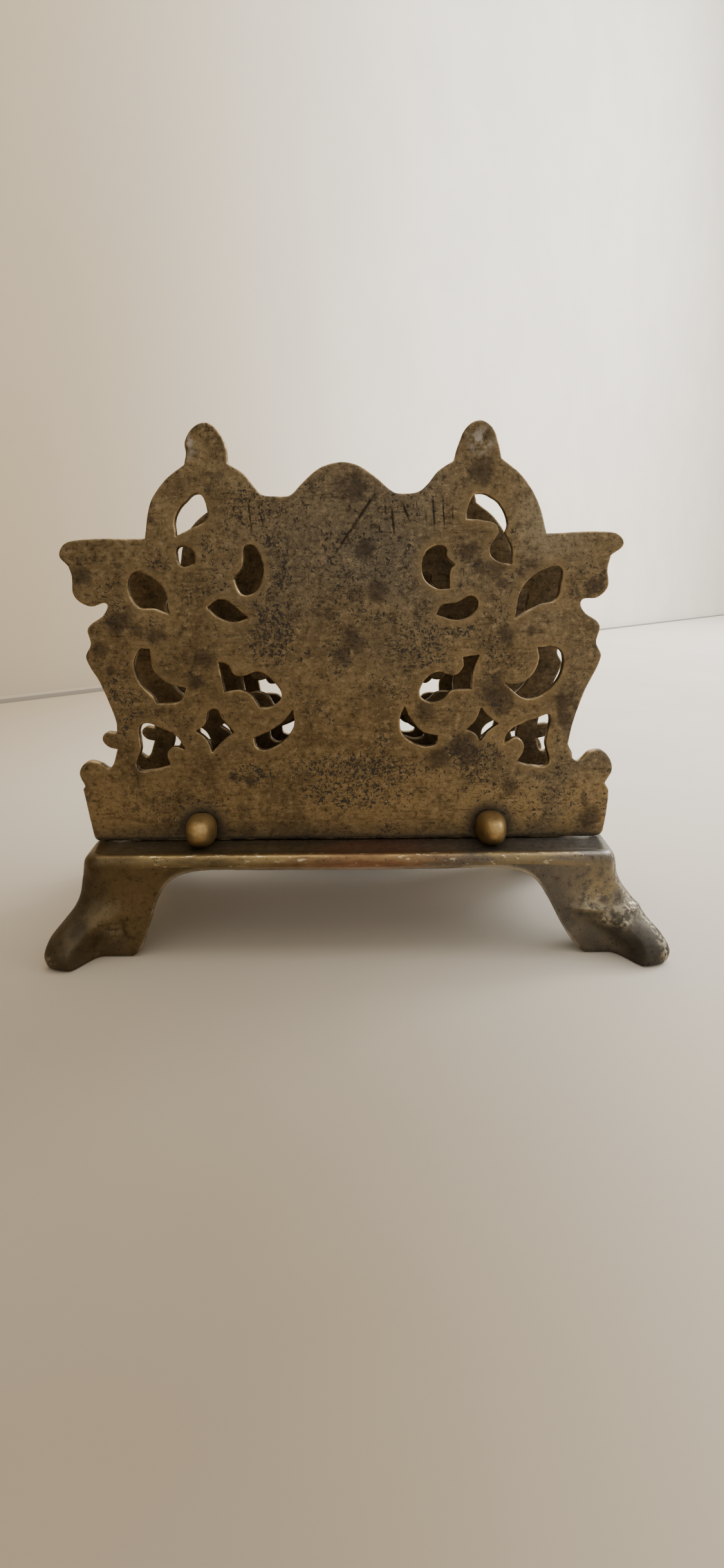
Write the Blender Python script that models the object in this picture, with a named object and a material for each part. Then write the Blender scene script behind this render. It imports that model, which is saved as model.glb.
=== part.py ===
"""Brass letter rack: three pierced plates on a four-footed base, clamped by two tie rods.

The front, where the letters show, faces -Y. The tallest plate stands at the back, towards +Y.
Every length below is in millimetres, and MM turns it into Blender's metres.
"""

import math

import bmesh
import bpy
from mathutils import Matrix, Vector

MM = 0.001
CLEARANCE = 0.3

# The base: a deck with a rolled edge, an apron all round and a splayed foot at each corner.
DECK_HEIGHT = 36.0
WALL = 3.0
DECK_HALF_X = 88.0
DECK_HALF_Y = 45.0
DECK_CORNER_RADIUS = 5.0
EDGE_ROLL = 2.2
END_FLARE = 3.4
END_BOW = 2.8
TOE_REACH_PLUS_X = 10.4
TOE_REACH_MINUS_X = 13.2
TOE_REACH_Y = 11.0
TOE_START = 6.5
TOE_FORWARD_START = 14.0
TOE_END = 33.0
TOE_WIDTH = 5.5
TOE_SLIDE = 18.0
# The toes reach further towards -X, so the deck stands this far towards +X to balance them.
BASE_X = (TOE_REACH_MINUS_X - TOE_REACH_PLUS_X) / 2

# The plates: one pattern, a little smaller on each plate towards the front. They stand a little
# off the middle of the deck, towards +X. Only the back plate has lost its ear on the -X side.
PLATE_THICKNESS = 3.0
PLATE_PITCH = 27.0
PLATES_X = BASE_X + 2.0
PLATES = {
    "back_plate": {"y": PLATE_PITCH, "wide": 1.0, "tall": 1.0, "lug_side": -1, "ears": 1},
    "middle_plate": {"y": 0.0, "wide": 0.935, "tall": 0.92, "lug_side": 1, "ears": 2},
    "front_plate": {"y": -PLATE_PITCH, "wide": 0.88, "tall": 0.84, "lug_side": 1, "ears": 2},
}

# The tie rods, their spacers and their ball nuts.
ROD_X = 50.3
ROD_HEIGHT = 5.2
ROD_RADIUS = 1.6
SPACER_RADIUS = 3.2
BALL_RADIUS = 5.1
BALL_BARREL = 6.4
BALL_BORE_DEPTH = 6.0

# The screws that come up through the deck into a lug on each plate.
SCREW_X = 29.0
SCREW_RADIUS = 1.2
SCREW_REACH = 5.5
SCREW_HEAD_RADIUS = 2.8
SCREW_HEAD_HEIGHT = 1.9
SCREW_SLOT_WIDTH = 0.8
SCREW_SLOT_DEPTH = 0.8
LUG_RADIUS = 3.6
LUG_HEIGHT = 8.0
LUG_OFFSET = 2.2

CORNER = "corner"
TURN_PER_STEP = math.radians(20.0)

# The plate's outline in two halves, from the foot up to the middle of the dome. x is the distance
# from the centre line and z the height above the deck. A point marked CORNER is sharp.
OUTLINE_PLUS_X = [
    (0.0, 0.0, CORNER),
    (86.6, 0.0),
    (88.5, 0.6),
    (89.2, 2.4),
    (91.2, 19.0, CORNER),
    (90.4, 20.0, CORNER),
    (91.8, 25.0),
    (88.4, 28.9),
    (84.0, 28.1),
    (81.0, 26.5),
    (78.0, 33.0, CORNER),
    (77.6, 43.0),
    (81.6, 55.6),
    (85.4, 64.0),
    (83.4, 68.5),
    (83.8, 73.6),
    (78.3, 77.8),
    (77.0, 81.4),
    (82.4, 80.5),
    (87.2, 83.8),
    (87.3, 90.0),
    (88.0, 93.0, CORNER),
    (90.6, 96.8),
    (86.8, 100.7),
    (62.8, 101.3, CORNER),
    (59.6, 111.5),
    (54.4, 118.1),
    (48.5, 122.9, CORNER),
    (47.6, 126.0),
    (47.4, 129.4),
    (45.1, 133.2),
    (41.5, 134.9),
    (38.0, 132.9),
    (35.6, 128.5),
    (35.2, 123.1, CORNER),
    (30.6, 120.4),
    (27.2, 116.3),
    (24.8, 114.0),
    (20.5, 113.6),
    (16.2, 113.9),
    (12.3, 117.4),
    (6.8, 121.7),
    (0.0, 123.4),
]
OUTLINE_MINUS_X = [
    (0.0, 0.0, CORNER),
    (86.8, 0.2),
    (89.6, 1.0),
    (90.6, 3.0),
    (91.4, 16.6),
    (89.9, 19.6, CORNER),
    (92.0, 25.0),
    (88.6, 30.9),
    (84.0, 31.0),
    (79.4, 27.6),
    (76.2, 33.6, CORNER),
    (77.4, 41.0),
    (80.6, 51.6),
    (85.2, 63.0),
    (83.3, 67.6),
    (83.9, 73.4),
    (78.4, 77.8),
    (77.6, 81.2),
    (82.6, 82.0),
    (85.8, 85.4),
    (85.2, 91.0),
    (86.0, 95.0, CORNER),
    (89.8, 98.6),
    (86.2, 102.0),
    (65.0, 101.9, CORNER),
    (61.8, 111.3),
    (56.6, 118.8),
    (49.8, 124.1, CORNER),
    (48.6, 128.4),
    (46.8, 132.6),
    (42.7, 134.9),
    (38.7, 133.0),
    (36.5, 128.7),
    (34.9, 123.5, CORNER),
    (30.2, 120.6),
    (26.8, 116.7),
    (24.0, 114.6),
    (19.8, 114.1),
    (16.2, 114.6),
    (10.8, 118.9),
    (5.4, 122.3),
    (0.0, 123.4),
]

# The knob that stands out beside the column, as a separate outline that joins the plate.
EAR = [
    (76.5, 38.6, CORNER),
    (81.0, 39.0),
    (82.8, 36.6),
    (81.0, 33.9),
    (76.0, 32.4, CORNER),
]

# The holes as (x, z) outlines. The first set is on the +X half and the second on the -X half,
# which differs a little because each hole was pierced and filed by hand.
HOLES_PLUS_X = {
    "arch": [
        (44.4, 113.2), (42.4, 108.8), (43.0, 106.6), (49.2, 103.6, CORNER), (52.8, 101.8, CORNER),
        (52.0, 107.2), (48.6, 111.2),
    ],
    "bead": [
        (52.4, 98.4), (49.8, 98.8), (47.4, 97.2), (47.4, 93.6, CORNER), (51.8, 92.8), (53.0, 96.4),
    ],
    "crescent": [
        (31.0, 98.6), (28.4, 98.9), (25.5, 92.6), (27.0, 86.2), (30.8, 83.6), (33.6, 84.6),
        (35.2, 89.0, CORNER), (32.4, 92.0), (31.6, 95.6),
    ],
    "shield": [
        (67.6, 90.6), (64.0, 90.8), (58.0, 86.0), (56.6, 77.8, CORNER), (61.6, 79.6),
        (67.2, 80.4), (69.4, 86.6),
    ],
    "leaf": [
        (39.4, 82.4), (36.0, 80.8), (31.2, 76.4, CORNER), (36.0, 75.2), (41.0, 76.8),
        (44.2, 79.8, CORNER), (42.0, 81.6),
    ],
    "horn": [
        (67.2, 66.6), (64.2, 66.7, CORNER), (63.4, 60.0), (59.0, 55.6), (53.0, 53.8, CORNER),
        (54.8, 49.8), (57.0, 48.8), (63.2, 48.6, CORNER), (64.2, 51.0), (68.2, 55.4), (69.7, 62.0),
    ],
    "scroll": [
        (41.6, 62.2, CORNER), (38.8, 61.4), (36.4, 57.8), (33.4, 57.6), (28.6, 58.9), (23.0, 55.0),
        (21.2, 50.6), (24.4, 47.4), (28.8, 47.0, CORNER), (31.4, 51.4), (35.2, 53.0),
        (40.2, 52.4, CORNER),
    ],
    "star": [
        (43.6, 46.6), (41.6, 43.4), (37.8, 38.6, CORNER), (41.4, 36.0), (45.6, 31.8, CORNER),
        (47.0, 36.0), (50.6, 39.2, CORNER), (47.2, 41.6), (46.2, 45.4),
    ],
    "comma": [
        (17.5, 46.0, CORNER), (17.4, 40.6), (21.4, 35.2), (27.4, 32.4), (30.4, 33.6),
        (31.0, 36.6, CORNER), (26.0, 38.7), (20.8, 42.0),
    ],
    "foot": [
        (68.8, 41.5), (61.0, 39.6), (57.0, 37.0), (54.8, 32.8, CORNER), (58.4, 33.8), (60.8, 31.6),
        (60.2, 27.2, CORNER), (66.0, 25.7), (71.6, 26.2), (69.8, 33.0),
    ],
}
HOLES_MINUS_X = {
    "arch_and_bead": [
        (39.6, 109.8), (41.8, 113.6), (46.0, 113.2), (50.4, 109.8), (52.4, 104.6),
        (51.6, 102.2, CORNER), (54.2, 97.2), (54.2, 92.6, CORNER), (49.0, 93.8), (47.0, 97.2),
        (49.8, 102.4, CORNER), (48.6, 104.8), (44.0, 106.0), (39.4, 106.4, CORNER),
    ],
    "crescent": [
        (29.6, 98.4), (32.8, 97.8), (33.4, 94.8), (36.0, 92.6, CORNER), (34.6, 90.6),
        (34.4, 85.2, CORNER), (30.6, 85.2), (26.6, 87.8), (25.4, 92.4), (26.6, 96.4),
    ],
    "shield": [
        (67.0, 91.8), (70.4, 91.0), (70.2, 86.4), (69.0, 81.4), (63.8, 79.8), (56.0, 75.6, CORNER),
        (57.4, 84.0), (61.0, 88.8),
    ],
    "leaf": [
        (41.2, 82.8), (43.8, 81.0), (42.0, 77.0), (37.0, 75.2), (30.4, 77.0, CORNER),
        (32.0, 79.9), (37.0, 80.8),
    ],
    "horn": [
        (63.9, 66.3, CORNER), (69.6, 66.3), (72.5, 63.6), (71.8, 56.6), (66.4, 50.6), (60.4, 49.3),
        (53.6, 54.4, CORNER), (58.8, 54.5), (62.8, 57.6), (64.6, 62.4),
    ],
    "scroll": [
        (44.6, 63.8, CORNER), (42.7, 58.0), (42.6, 52.6, CORNER), (36.0, 52.2), (32.6, 49.2),
        (28.8, 48.2), (25.4, 50.6), (26.4, 55.0), (31.0, 58.4), (36.6, 57.2), (39.6, 60.0),
        (39.5, 63.2, CORNER),
    ],
    "star": [
        (46.0, 46.2, CORNER), (48.4, 43.4), (52.0, 40.8, CORNER), (48.8, 38.4), (46.0, 35.0, CORNER),
        (44.2, 37.4), (41.2, 38.8, CORNER), (44.2, 42.0),
    ],
    "comma": [
        (20.2, 47.0, CORNER), (18.7, 42.6), (19.8, 37.2), (25.6, 33.5), (30.8, 33.9),
        (31.4, 36.8, CORNER), (26.4, 38.2), (22.6, 42.0),
    ],
    "foot": [
        (69.2, 43.6), (66.0, 43.0), (57.8, 39.8), (55.0, 37.2), (54.2, 33.8, CORNER), (58.4, 36.0),
        (61.1, 32.8), (59.0, 27.4, CORNER), (64.0, 26.2), (69.6, 26.6), (68.4, 34.0),
    ],
}

# The openings under the aprons, as half outlines from the middle to the foot. The long sides'
# opening is wider towards -X than towards +X.
LONG_ARCH_PLUS_X = [
    (0.0, 31.0), (32.0, 31.2), (47.0, 31.2), (57.0, 28.0), (63.2, 21.9), (68.2, 12.6),
    (71.8, 4.6), (73.6, 1.6), (77.6, -1.0, CORNER),
]
LONG_ARCH_MINUS_X = [
    (0.0, 31.0), (33.0, 31.2), (53.0, 31.2), (62.4, 28.0), (67.6, 20.6), (72.2, 11.2),
    (75.4, 4.6), (77.2, 1.6), (81.2, -1.0, CORNER),
]
END_ARCH_HALF = [
    (0.0, 30.0), (10.0, 29.6), (17.0, 27.6), (22.5, 21.5), (27.0, 12.5), (30.4, 4.6),
    (32.2, 1.6), (36.0, -1.0, CORNER),
]


def clear_scene():
    """Remove whatever the file holds."""
    for thing in list(bpy.data.objects):
        bpy.data.objects.remove(thing, do_unlink=True)


def brass(name, colour, roughness):
    """Make one brass finish."""
    material = bpy.data.materials.new(name)
    material.use_nodes = True
    shader = material.node_tree.nodes["Principled BSDF"]
    shader.inputs["Base Color"].default_value = (*colour, 1.0)
    shader.inputs["Roughness"].default_value = roughness
    shader.inputs["Metallic"].default_value = 1.0
    return material


def finish(name, bm, material):
    """Turn a bmesh in millimetres into a named, shaded object in metres."""
    bmesh.ops.scale(bm, vec=(MM, MM, MM), verts=bm.verts)
    bmesh.ops.recalc_face_normals(bm, faces=bm.faces)
    mesh = bpy.data.meshes.new(name)
    bm.to_mesh(mesh)
    bm.free()
    mesh.shade_smooth()
    mesh.set_sharp_from_angle(angle=math.radians(35.0))
    thing = bpy.data.objects.new(name, mesh)
    bpy.context.scene.collection.objects.link(thing)
    if material is not None:
        mesh.materials.append(material)
    return thing


def tool(name, bm):
    """A cutter or an added lump: it shapes other pieces and isn't a piece itself."""
    thing = finish(name, bm, None)
    thing.hide_render = True
    thing.display_type = "WIRE"
    return thing


def combine(thing, other, operation):
    """Cut `other` out of `thing`, or add it on."""
    modifier = thing.modifiers.new(other.name, "BOOLEAN")
    modifier.operation = operation
    modifier.object = other
    modifier.solver = "EXACT"


def smooth_path(points, closed=True):
    """Follow smooth points with a curve and keep the corners sharp."""
    places = [Vector(point[:2]) for point in points]
    sharp = [len(point) > 2 for point in points]
    count = len(places)
    spans = count if closed else count - 1
    path = []
    for index in range(spans):
        start = places[index]
        end = places[(index + 1) % count]
        chord = end - start
        leaving = chord
        arriving = chord
        has_before = closed or index > 0
        has_after = closed or index < count - 2
        if has_before and not sharp[index]:
            leaving = end - places[index - 1]
        if has_after and not sharp[(index + 1) % count]:
            arriving = places[(index + 2) % count] - start
        leaving = leaving.normalized() * chord.length
        arriving = arriving.normalized() * chord.length
        turn = leaving.angle(chord) + arriving.angle(chord)
        steps = max(1, math.ceil(turn / TURN_PER_STEP))
        for step in range(steps):
            t = step / steps
            path.append(
                start * (2 * t**3 - 3 * t**2 + 1)
                + leaving * (t**3 - 2 * t**2 + t)
                + end * (3 * t**2 - 2 * t**3)
                + arriving * (t**3 - t**2)
            )
    if not closed:
        path.append(places[-1])
    return path


def mirrored(points):
    """Mirror a path to the other side and run it the other way."""
    return [Vector((-point.x, point.y)) for point in reversed(points)]


def circle(x, z, radius, segments=20):
    """A round hole's outline."""
    return [
        Vector((x + radius * math.cos(turn), z + radius * math.sin(turn)))
        for turn in (2 * math.pi * step / segments for step in range(segments))
    ]


def slab(loops, axis, low, high):
    """Fill an outline with holes and give it thickness between two levels along X or Y."""
    bm = bmesh.new()
    edges = []
    for loop in loops:
        ring = []
        for point in loop:
            place = (point.x, low, point.y) if axis == "Y" else (low, point.x, point.y)
            ring.append(bm.verts.new(place))
        for index, vert in enumerate(ring):
            edges.append(bm.edges.new((vert, ring[(index + 1) % len(ring)])))
    bmesh.ops.triangle_fill(bm, edges=edges, use_beauty=True)
    step = Vector((0.0, high - low, 0.0)) if axis == "Y" else Vector((high - low, 0.0, 0.0))
    grown = bmesh.ops.extrude_face_region(bm, geom=list(bm.faces))
    moved = [item for item in grown["geom"] if isinstance(item, bmesh.types.BMVert)]
    bmesh.ops.translate(bm, vec=step, verts=moved)
    return bm


def turned(profile, segments=24):
    """Spin an (axial, radial) profile about the Z axis into a closed solid."""
    bm = bmesh.new()
    verts = [bm.verts.new((radius, 0.0, along)) for along, radius in profile]
    edges = [bm.edges.new(pair) for pair in zip(verts, verts[1:])]
    if profile[0][1] > 0.0:
        edges.append(bm.edges.new((verts[-1], verts[0])))
    bmesh.ops.spin(
        bm,
        geom=verts + edges,
        cent=(0.0, 0.0, 0.0),
        axis=(0.0, 0.0, 1.0),
        angle=2 * math.pi,
        steps=segments,
        use_merge=True,
    )
    bmesh.ops.remove_doubles(bm, verts=bm.verts, dist=0.001)
    return bm


def placed(bm, place, direction=(0.0, 0.0, 1.0)):
    """Turn a solid made about Z to a direction and move it to a place."""
    rotation = Vector((0.0, 0.0, 1.0)).rotation_difference(Vector(direction)).to_matrix().to_4x4()
    bmesh.ops.transform(bm, matrix=Matrix.Translation(place) @ rotation, verts=bm.verts)
    return bm


def merged(parts):
    """Put several closed solids into one bmesh, for a cutter that works in many places."""
    whole = bmesh.new()
    for part in parts:
        mesh = bpy.data.meshes.new("merged")
        part.to_mesh(mesh)
        part.free()
        whole.from_mesh(mesh)
        bpy.data.meshes.remove(mesh)
    return whole


def smoothstep(t):
    """Rise smoothly from 0 to 1."""
    t = min(max(t, 0.0), 1.0)
    return t * t * (3.0 - 2.0 * t)


def toe_share(away, width):
    """How far a point of the apron follows the toe, by its distance from the corner."""
    return smoothstep(1.0 - max(away - DECK_CORNER_RADIUS, 0.0) / width)


def end_bow(y):
    """How far the short ends bow outwards at a distance from their middle."""
    return END_BOW * (1.0 - (y / DECK_HALF_Y) ** 2)


def base_quarter(level, inset, toe_reach):
    """A quarter of the base's plan outline, from the middle of the +Y side to that of the +X side."""
    drop = DECK_HEIGHT - level
    flare = END_FLARE * (1.0 - (level / DECK_HEIGHT) ** 2)
    splay = smoothstep((drop - TOE_START) / (TOE_END - TOE_START))
    forward = smoothstep((drop - TOE_FORWARD_START) / (TOE_END - TOE_FORWARD_START))
    half_x = DECK_HALF_X - inset
    half_y = DECK_HALF_Y - inset
    radius = max(DECK_CORNER_RADIUS - inset, 1.0)
    near_corner = (12.5, 10.5, 9.0, 7.5, 6.0)
    toe = Vector((toe_reach * splay, TOE_REACH_Y * forward))
    quarter = []
    # Along the +Y side: the toe carries a point sideways before it carries it outwards.
    for away in (half_x, 60.0, 42.0, 28.0, 18.0) + near_corner:
        share = Vector((toe_share(away, TOE_SLIDE), toe_share(away, TOE_WIDTH)))
        quarter.append(Vector((half_x - away, half_y)) + toe * share)
    for turn in (90.0, 67.5, 45.0, 22.5, 0.0):
        outward = Vector((math.cos(math.radians(turn)), math.sin(math.radians(turn))))
        place = Vector((half_x - radius, half_y - radius)) + outward * radius
        quarter.append(place + Vector((outward.x * flare + end_bow(place.y), 0.0)) + toe)
    for away in tuple(reversed(near_corner)) + (18.0, 28.0, half_y):
        share = Vector((toe_share(away, TOE_WIDTH), toe_share(away, TOE_SLIDE)))
        bow = end_bow(half_y - away)
        quarter.append(Vector((half_x + flare + bow, half_y - away)) + toe * share)
    return quarter


def base_ring(level, inset):
    """The base's plan outline at a height, drawn in by an inset, with the toes splayed out."""
    plus = base_quarter(level, inset, TOE_REACH_PLUS_X)
    minus = base_quarter(level, inset, TOE_REACH_MINUS_X)
    plus += [Vector((p.x, -p.y)) for p in reversed(plus[:-1])]
    minus += [Vector((p.x, -p.y)) for p in reversed(minus[:-1])]
    ring = plus + [Vector((-p.x, p.y)) for p in reversed(minus[1:-1])]
    return [p + Vector((BASE_X, 0.0)) for p in ring]


def base_shell():
    """The casting before its openings are cut: an open-bottomed box with a rolled top edge."""
    outer = [
        (DECK_HEIGHT, EDGE_ROLL),
        (DECK_HEIGHT - 0.3 * EDGE_ROLL, 0.3 * EDGE_ROLL),
        (DECK_HEIGHT - EDGE_ROLL, 0.0),
    ]
    levels = [30.5, 26.0, 21.5, 17.5, 13.5, 10.0, 7.0, 4.0, 1.2]
    outer += [(level, 0.0) for level in levels]
    outer += [(0.0, 0.8)]
    inner = [(0.0, WALL - 0.6)]
    inner += [(level, WALL) for level in reversed(levels)]
    inner += [(DECK_HEIGHT - WALL, WALL)]
    bm = bmesh.new()
    rings = []
    for level, inset in outer + inner:
        rings.append([bm.verts.new((p.x, p.y, level)) for p in base_ring(level, inset)])
    for upper, lower in zip(rings, rings[1:]):
        for index in range(len(upper)):
            after = (index + 1) % len(upper)
            bm.faces.new((upper[index], lower[index], lower[after], upper[after]))
    bm.faces.new(rings[0])
    bm.faces.new(list(reversed(rings[-1])))
    return bm


def arch_cutter(name, plus_side, minus_side, middle, axis, reach):
    """A prism that opens the aprons on two opposite sides, about the middle of those sides."""
    plus = smooth_path(plus_side, closed=False)
    minus = smooth_path(minus_side, closed=False)
    outline = list(reversed(plus)) + [Vector((-point.x, point.y)) for point in minus[1:]]
    outline = [point + Vector((middle, 0.0)) for point in outline]
    return tool(name, slab([outline], axis, -reach, reach))


def screw_places():
    """Where each plate's two screws stand, by plate."""
    places = []
    for plate, size in PLATES.items():
        y = size["y"] + size["lug_side"] * LUG_OFFSET
        for side, x in (("left", SCREW_X), ("right", -SCREW_X)):
            places.append((plate, side, Vector((PLATES_X + x, y, 0.0))))
    return places


def make_base(material):
    """The base casting with its arches and its screw holes."""
    base = finish("base", base_shell(), material)
    long_reach = DECK_HALF_Y + TOE_REACH_Y + 5.0
    end_reach = DECK_HALF_X + END_FLARE + TOE_REACH_MINUS_X + 5.0
    long_sides = (LONG_ARCH_PLUS_X, LONG_ARCH_MINUS_X)
    long_arch = arch_cutter("long_arch", *long_sides, BASE_X, "Y", long_reach)
    end_arch = arch_cutter("end_arch", END_ARCH_HALF, END_ARCH_HALF, 0.0, "X", end_reach)
    combine(base, long_arch, "DIFFERENCE")
    combine(base, end_arch, "DIFFERENCE")
    hole = SCREW_RADIUS + CLEARANCE
    drill = [(0.0, 0.0), (0.0, hole), (2 * WALL, hole), (2 * WALL, 0.0)]
    bottom = Vector((0.0, 0.0, DECK_HEIGHT - 1.5 * WALL))
    drills = [placed(turned(drill, 16), place + bottom) for _, _, place in screw_places()]
    combine(base, tool("screw_drills", merged(drills)), "DIFFERENCE")


def plate_loops(wide, tall, ears):
    """The outline and the holes of a plate, and its ears, at the plate's own size."""
    minus = [(-point[0], *point[1:]) for point in reversed(OUTLINE_MINUS_X[1:-1])]
    loops = [smooth_path(OUTLINE_PLUS_X + minus)]
    loops += [smooth_path(hole) for hole in HOLES_PLUS_X.values()]
    loops += [mirrored(smooth_path(hole)) for hole in HOLES_MINUS_X.values()]
    knobs = [smooth_path(EAR), mirrored(smooth_path(EAR))][:ears]
    size = Vector((wide, tall))
    foot = Vector((PLATES_X, DECK_HEIGHT + CLEARANCE))
    loops = [[point * size + foot for point in loop] for loop in loops]
    knobs = [[point * size + foot for point in knob] for knob in knobs]
    return loops, knobs


def make_plate(name, material):
    """A pierced plate with its rod holes, its ears and the two lugs for its screws."""
    size = PLATES[name]
    loops, knobs = plate_loops(size["wide"], size["tall"], size["ears"])
    for x in (PLATES_X + ROD_X, PLATES_X - ROD_X):
        loops.append(circle(x, DECK_HEIGHT + ROD_HEIGHT, ROD_RADIUS + CLEARANCE))
    low = size["y"] - PLATE_THICKNESS / 2
    high = size["y"] + PLATE_THICKNESS / 2
    plate = finish(name, slab(loops, "Y", low, high), material)
    lumps = [slab([knob], "Y", low, high) for knob in knobs]
    lug = [
        (0.0, 0.0),
        (0.0, LUG_RADIUS),
        (LUG_HEIGHT - 0.8, LUG_RADIUS),
        (LUG_HEIGHT, LUG_RADIUS - 0.8),
        (LUG_HEIGHT, 0.0),
    ]
    hole = SCREW_RADIUS + CLEARANCE
    bore = [(-1.0, 0.0), (-1.0, hole), (SCREW_REACH + 0.7, hole), (SCREW_REACH + 1.4, 0.0)]
    foot = Vector((0.0, 0.0, DECK_HEIGHT + CLEARANCE))
    places = [place for plate_name, _, place in screw_places() if plate_name == name]
    lumps += [placed(turned(lug, 20), place + foot) for place in places]
    combine(plate, tool(name + "_lumps", merged(lumps)), "UNION")
    bores = [placed(turned(bore, 16), place + foot) for place in places]
    combine(plate, tool(name + "_bores", merged(bores)), "DIFFERENCE")


def make_screws(material):
    """Six slotted cheese-head screws, head down under the deck."""
    head_top = DECK_HEIGHT - WALL - CLEARANCE
    length = WALL + 2 * CLEARANCE + SCREW_REACH
    head = SCREW_HEAD_HEIGHT
    profile = [
        (-head, 0.0),
        (-head, SCREW_HEAD_RADIUS - 0.4),
        (-head + 0.4, SCREW_HEAD_RADIUS),
        (0.0, SCREW_HEAD_RADIUS),
        (0.0, SCREW_RADIUS),
        (length - 0.5, SCREW_RADIUS),
        (length, SCREW_RADIUS - 0.5),
        (length, 0.0),
    ]
    slot_size = (3 * SCREW_HEAD_RADIUS, SCREW_SLOT_WIDTH, 2 * SCREW_SLOT_DEPTH)
    for plate, side, place in screw_places():
        name = "plate_screw_" + plate.replace("_plate", "") + "_" + side
        under_deck = place + Vector((0.0, 0.0, head_top))
        screw = finish(name, placed(turned(profile, 20), under_deck), material)
        slot = bmesh.new()
        bmesh.ops.create_cube(slot, size=1.0)
        bmesh.ops.scale(slot, vec=slot_size, verts=slot.verts)
        turn = Matrix.Rotation(math.radians(37.0 * len(name) + place.x + place.y), 4, "Z")
        bmesh.ops.transform(slot, matrix=turn, verts=slot.verts)
        slot_place = place + Vector((0.0, 0.0, head_top - head))
        combine(screw, tool(name + "_slot", placed(slot, slot_place)), "DIFFERENCE")


def ball_profile():
    """A ball nut: a plain barrel with a domed end, drilled part way from its flat end."""
    bore = ROD_RADIUS + CLEARANCE
    profile = [
        (BALL_BORE_DEPTH + 0.8, 0.0),
        (BALL_BORE_DEPTH, bore),
        (0.0, bore),
        (0.0, BALL_RADIUS - 0.5),
        (0.5, BALL_RADIUS),
    ]
    for step in range(7):
        turn = math.radians(90.0 - 15.0 * step)
        along = BALL_BARREL + BALL_RADIUS * math.cos(turn)
        profile.append((along, BALL_RADIUS * math.sin(turn)))
    profile[-1] = (profile[-1][0], 0.0)
    return profile


def make_rods(rod_finish, ball_finish):
    """Both tie rods with their ball nuts and the spacers between the plates."""
    face = PLATE_PITCH + PLATE_THICKNESS / 2 + CLEARANCE
    rod_end = face + BALL_BORE_DEPTH - CLEARANCE
    rod = [
        (-rod_end, 0.0),
        (-rod_end, ROD_RADIUS - 0.4),
        (-rod_end + 0.4, ROD_RADIUS),
        (rod_end - 0.4, ROD_RADIUS),
        (rod_end, ROD_RADIUS - 0.4),
        (rod_end, 0.0),
    ]
    half_spacer = (PLATE_PITCH - PLATE_THICKNESS) / 2 - CLEARANCE
    bore = ROD_RADIUS + CLEARANCE
    spacer = [
        (-half_spacer, bore),
        (-half_spacer, SPACER_RADIUS),
        (half_spacer, SPACER_RADIUS),
        (half_spacer, bore),
    ]
    height = DECK_HEIGHT + ROD_HEIGHT
    along_y = (0.0, 1.0, 0.0)
    for side, x in (("left", PLATES_X + ROD_X), ("right", PLATES_X - ROD_X)):
        finish("tie_rod_" + side, placed(turned(rod, 16), (x, 0.0, height), along_y), rod_finish)
        for gap, y in (("rear", PLATE_PITCH / 2), ("front", -PLATE_PITCH / 2)):
            name = "spacer_" + gap + "_" + side
            finish(name, placed(turned(spacer, 24), (x, y, height), along_y), rod_finish)
        for end, out in (("rear", 1.0), ("front", -1.0)):
            name = "ball_nut_" + end + "_" + side
            ball = placed(turned(ball_profile(), 16), (x, out * face, height), (0.0, out, 0.0))
            finish(name, ball, ball_finish)


def main():
    clear_scene()
    plate_brass = brass("patinated_brass", (0.36, 0.27, 0.13), 0.42)
    base_brass = brass("base_brass", (0.33, 0.25, 0.13), 0.38)
    ball_brass = brass("rubbed_brass", (0.62, 0.46, 0.20), 0.28)
    rod_brass = brass("plain_brass", (0.50, 0.38, 0.18), 0.35)
    make_base(base_brass)
    for name in PLATES:
        make_plate(name, plate_brass)
    make_rods(rod_brass, ball_brass)
    make_screws(rod_brass)


main()
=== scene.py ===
"""Looks for the brass letter rack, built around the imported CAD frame.

Every length in the shape code is in millimetres, in the frame's own axes: +Z up, the front towards
-Y, the tall back plate towards +Y. MM turns them into Blender's metres. The stage, the lights and
the camera are in metres.
"""

import math

import bmesh
import bpy
import numpy as np
from mathutils import Matrix, Vector, noise
from mathutils.geometry import delaunay_2d_cdt
from mathutils.kdtree import KDTree


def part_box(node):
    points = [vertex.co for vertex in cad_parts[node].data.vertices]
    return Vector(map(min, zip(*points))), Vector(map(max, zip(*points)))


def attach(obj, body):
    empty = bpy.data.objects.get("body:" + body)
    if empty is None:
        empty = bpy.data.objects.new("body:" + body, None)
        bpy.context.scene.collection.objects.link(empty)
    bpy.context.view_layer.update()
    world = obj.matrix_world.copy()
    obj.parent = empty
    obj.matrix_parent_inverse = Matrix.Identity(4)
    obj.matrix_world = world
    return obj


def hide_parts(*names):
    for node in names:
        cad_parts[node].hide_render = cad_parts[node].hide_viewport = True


MM = 0.001

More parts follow.
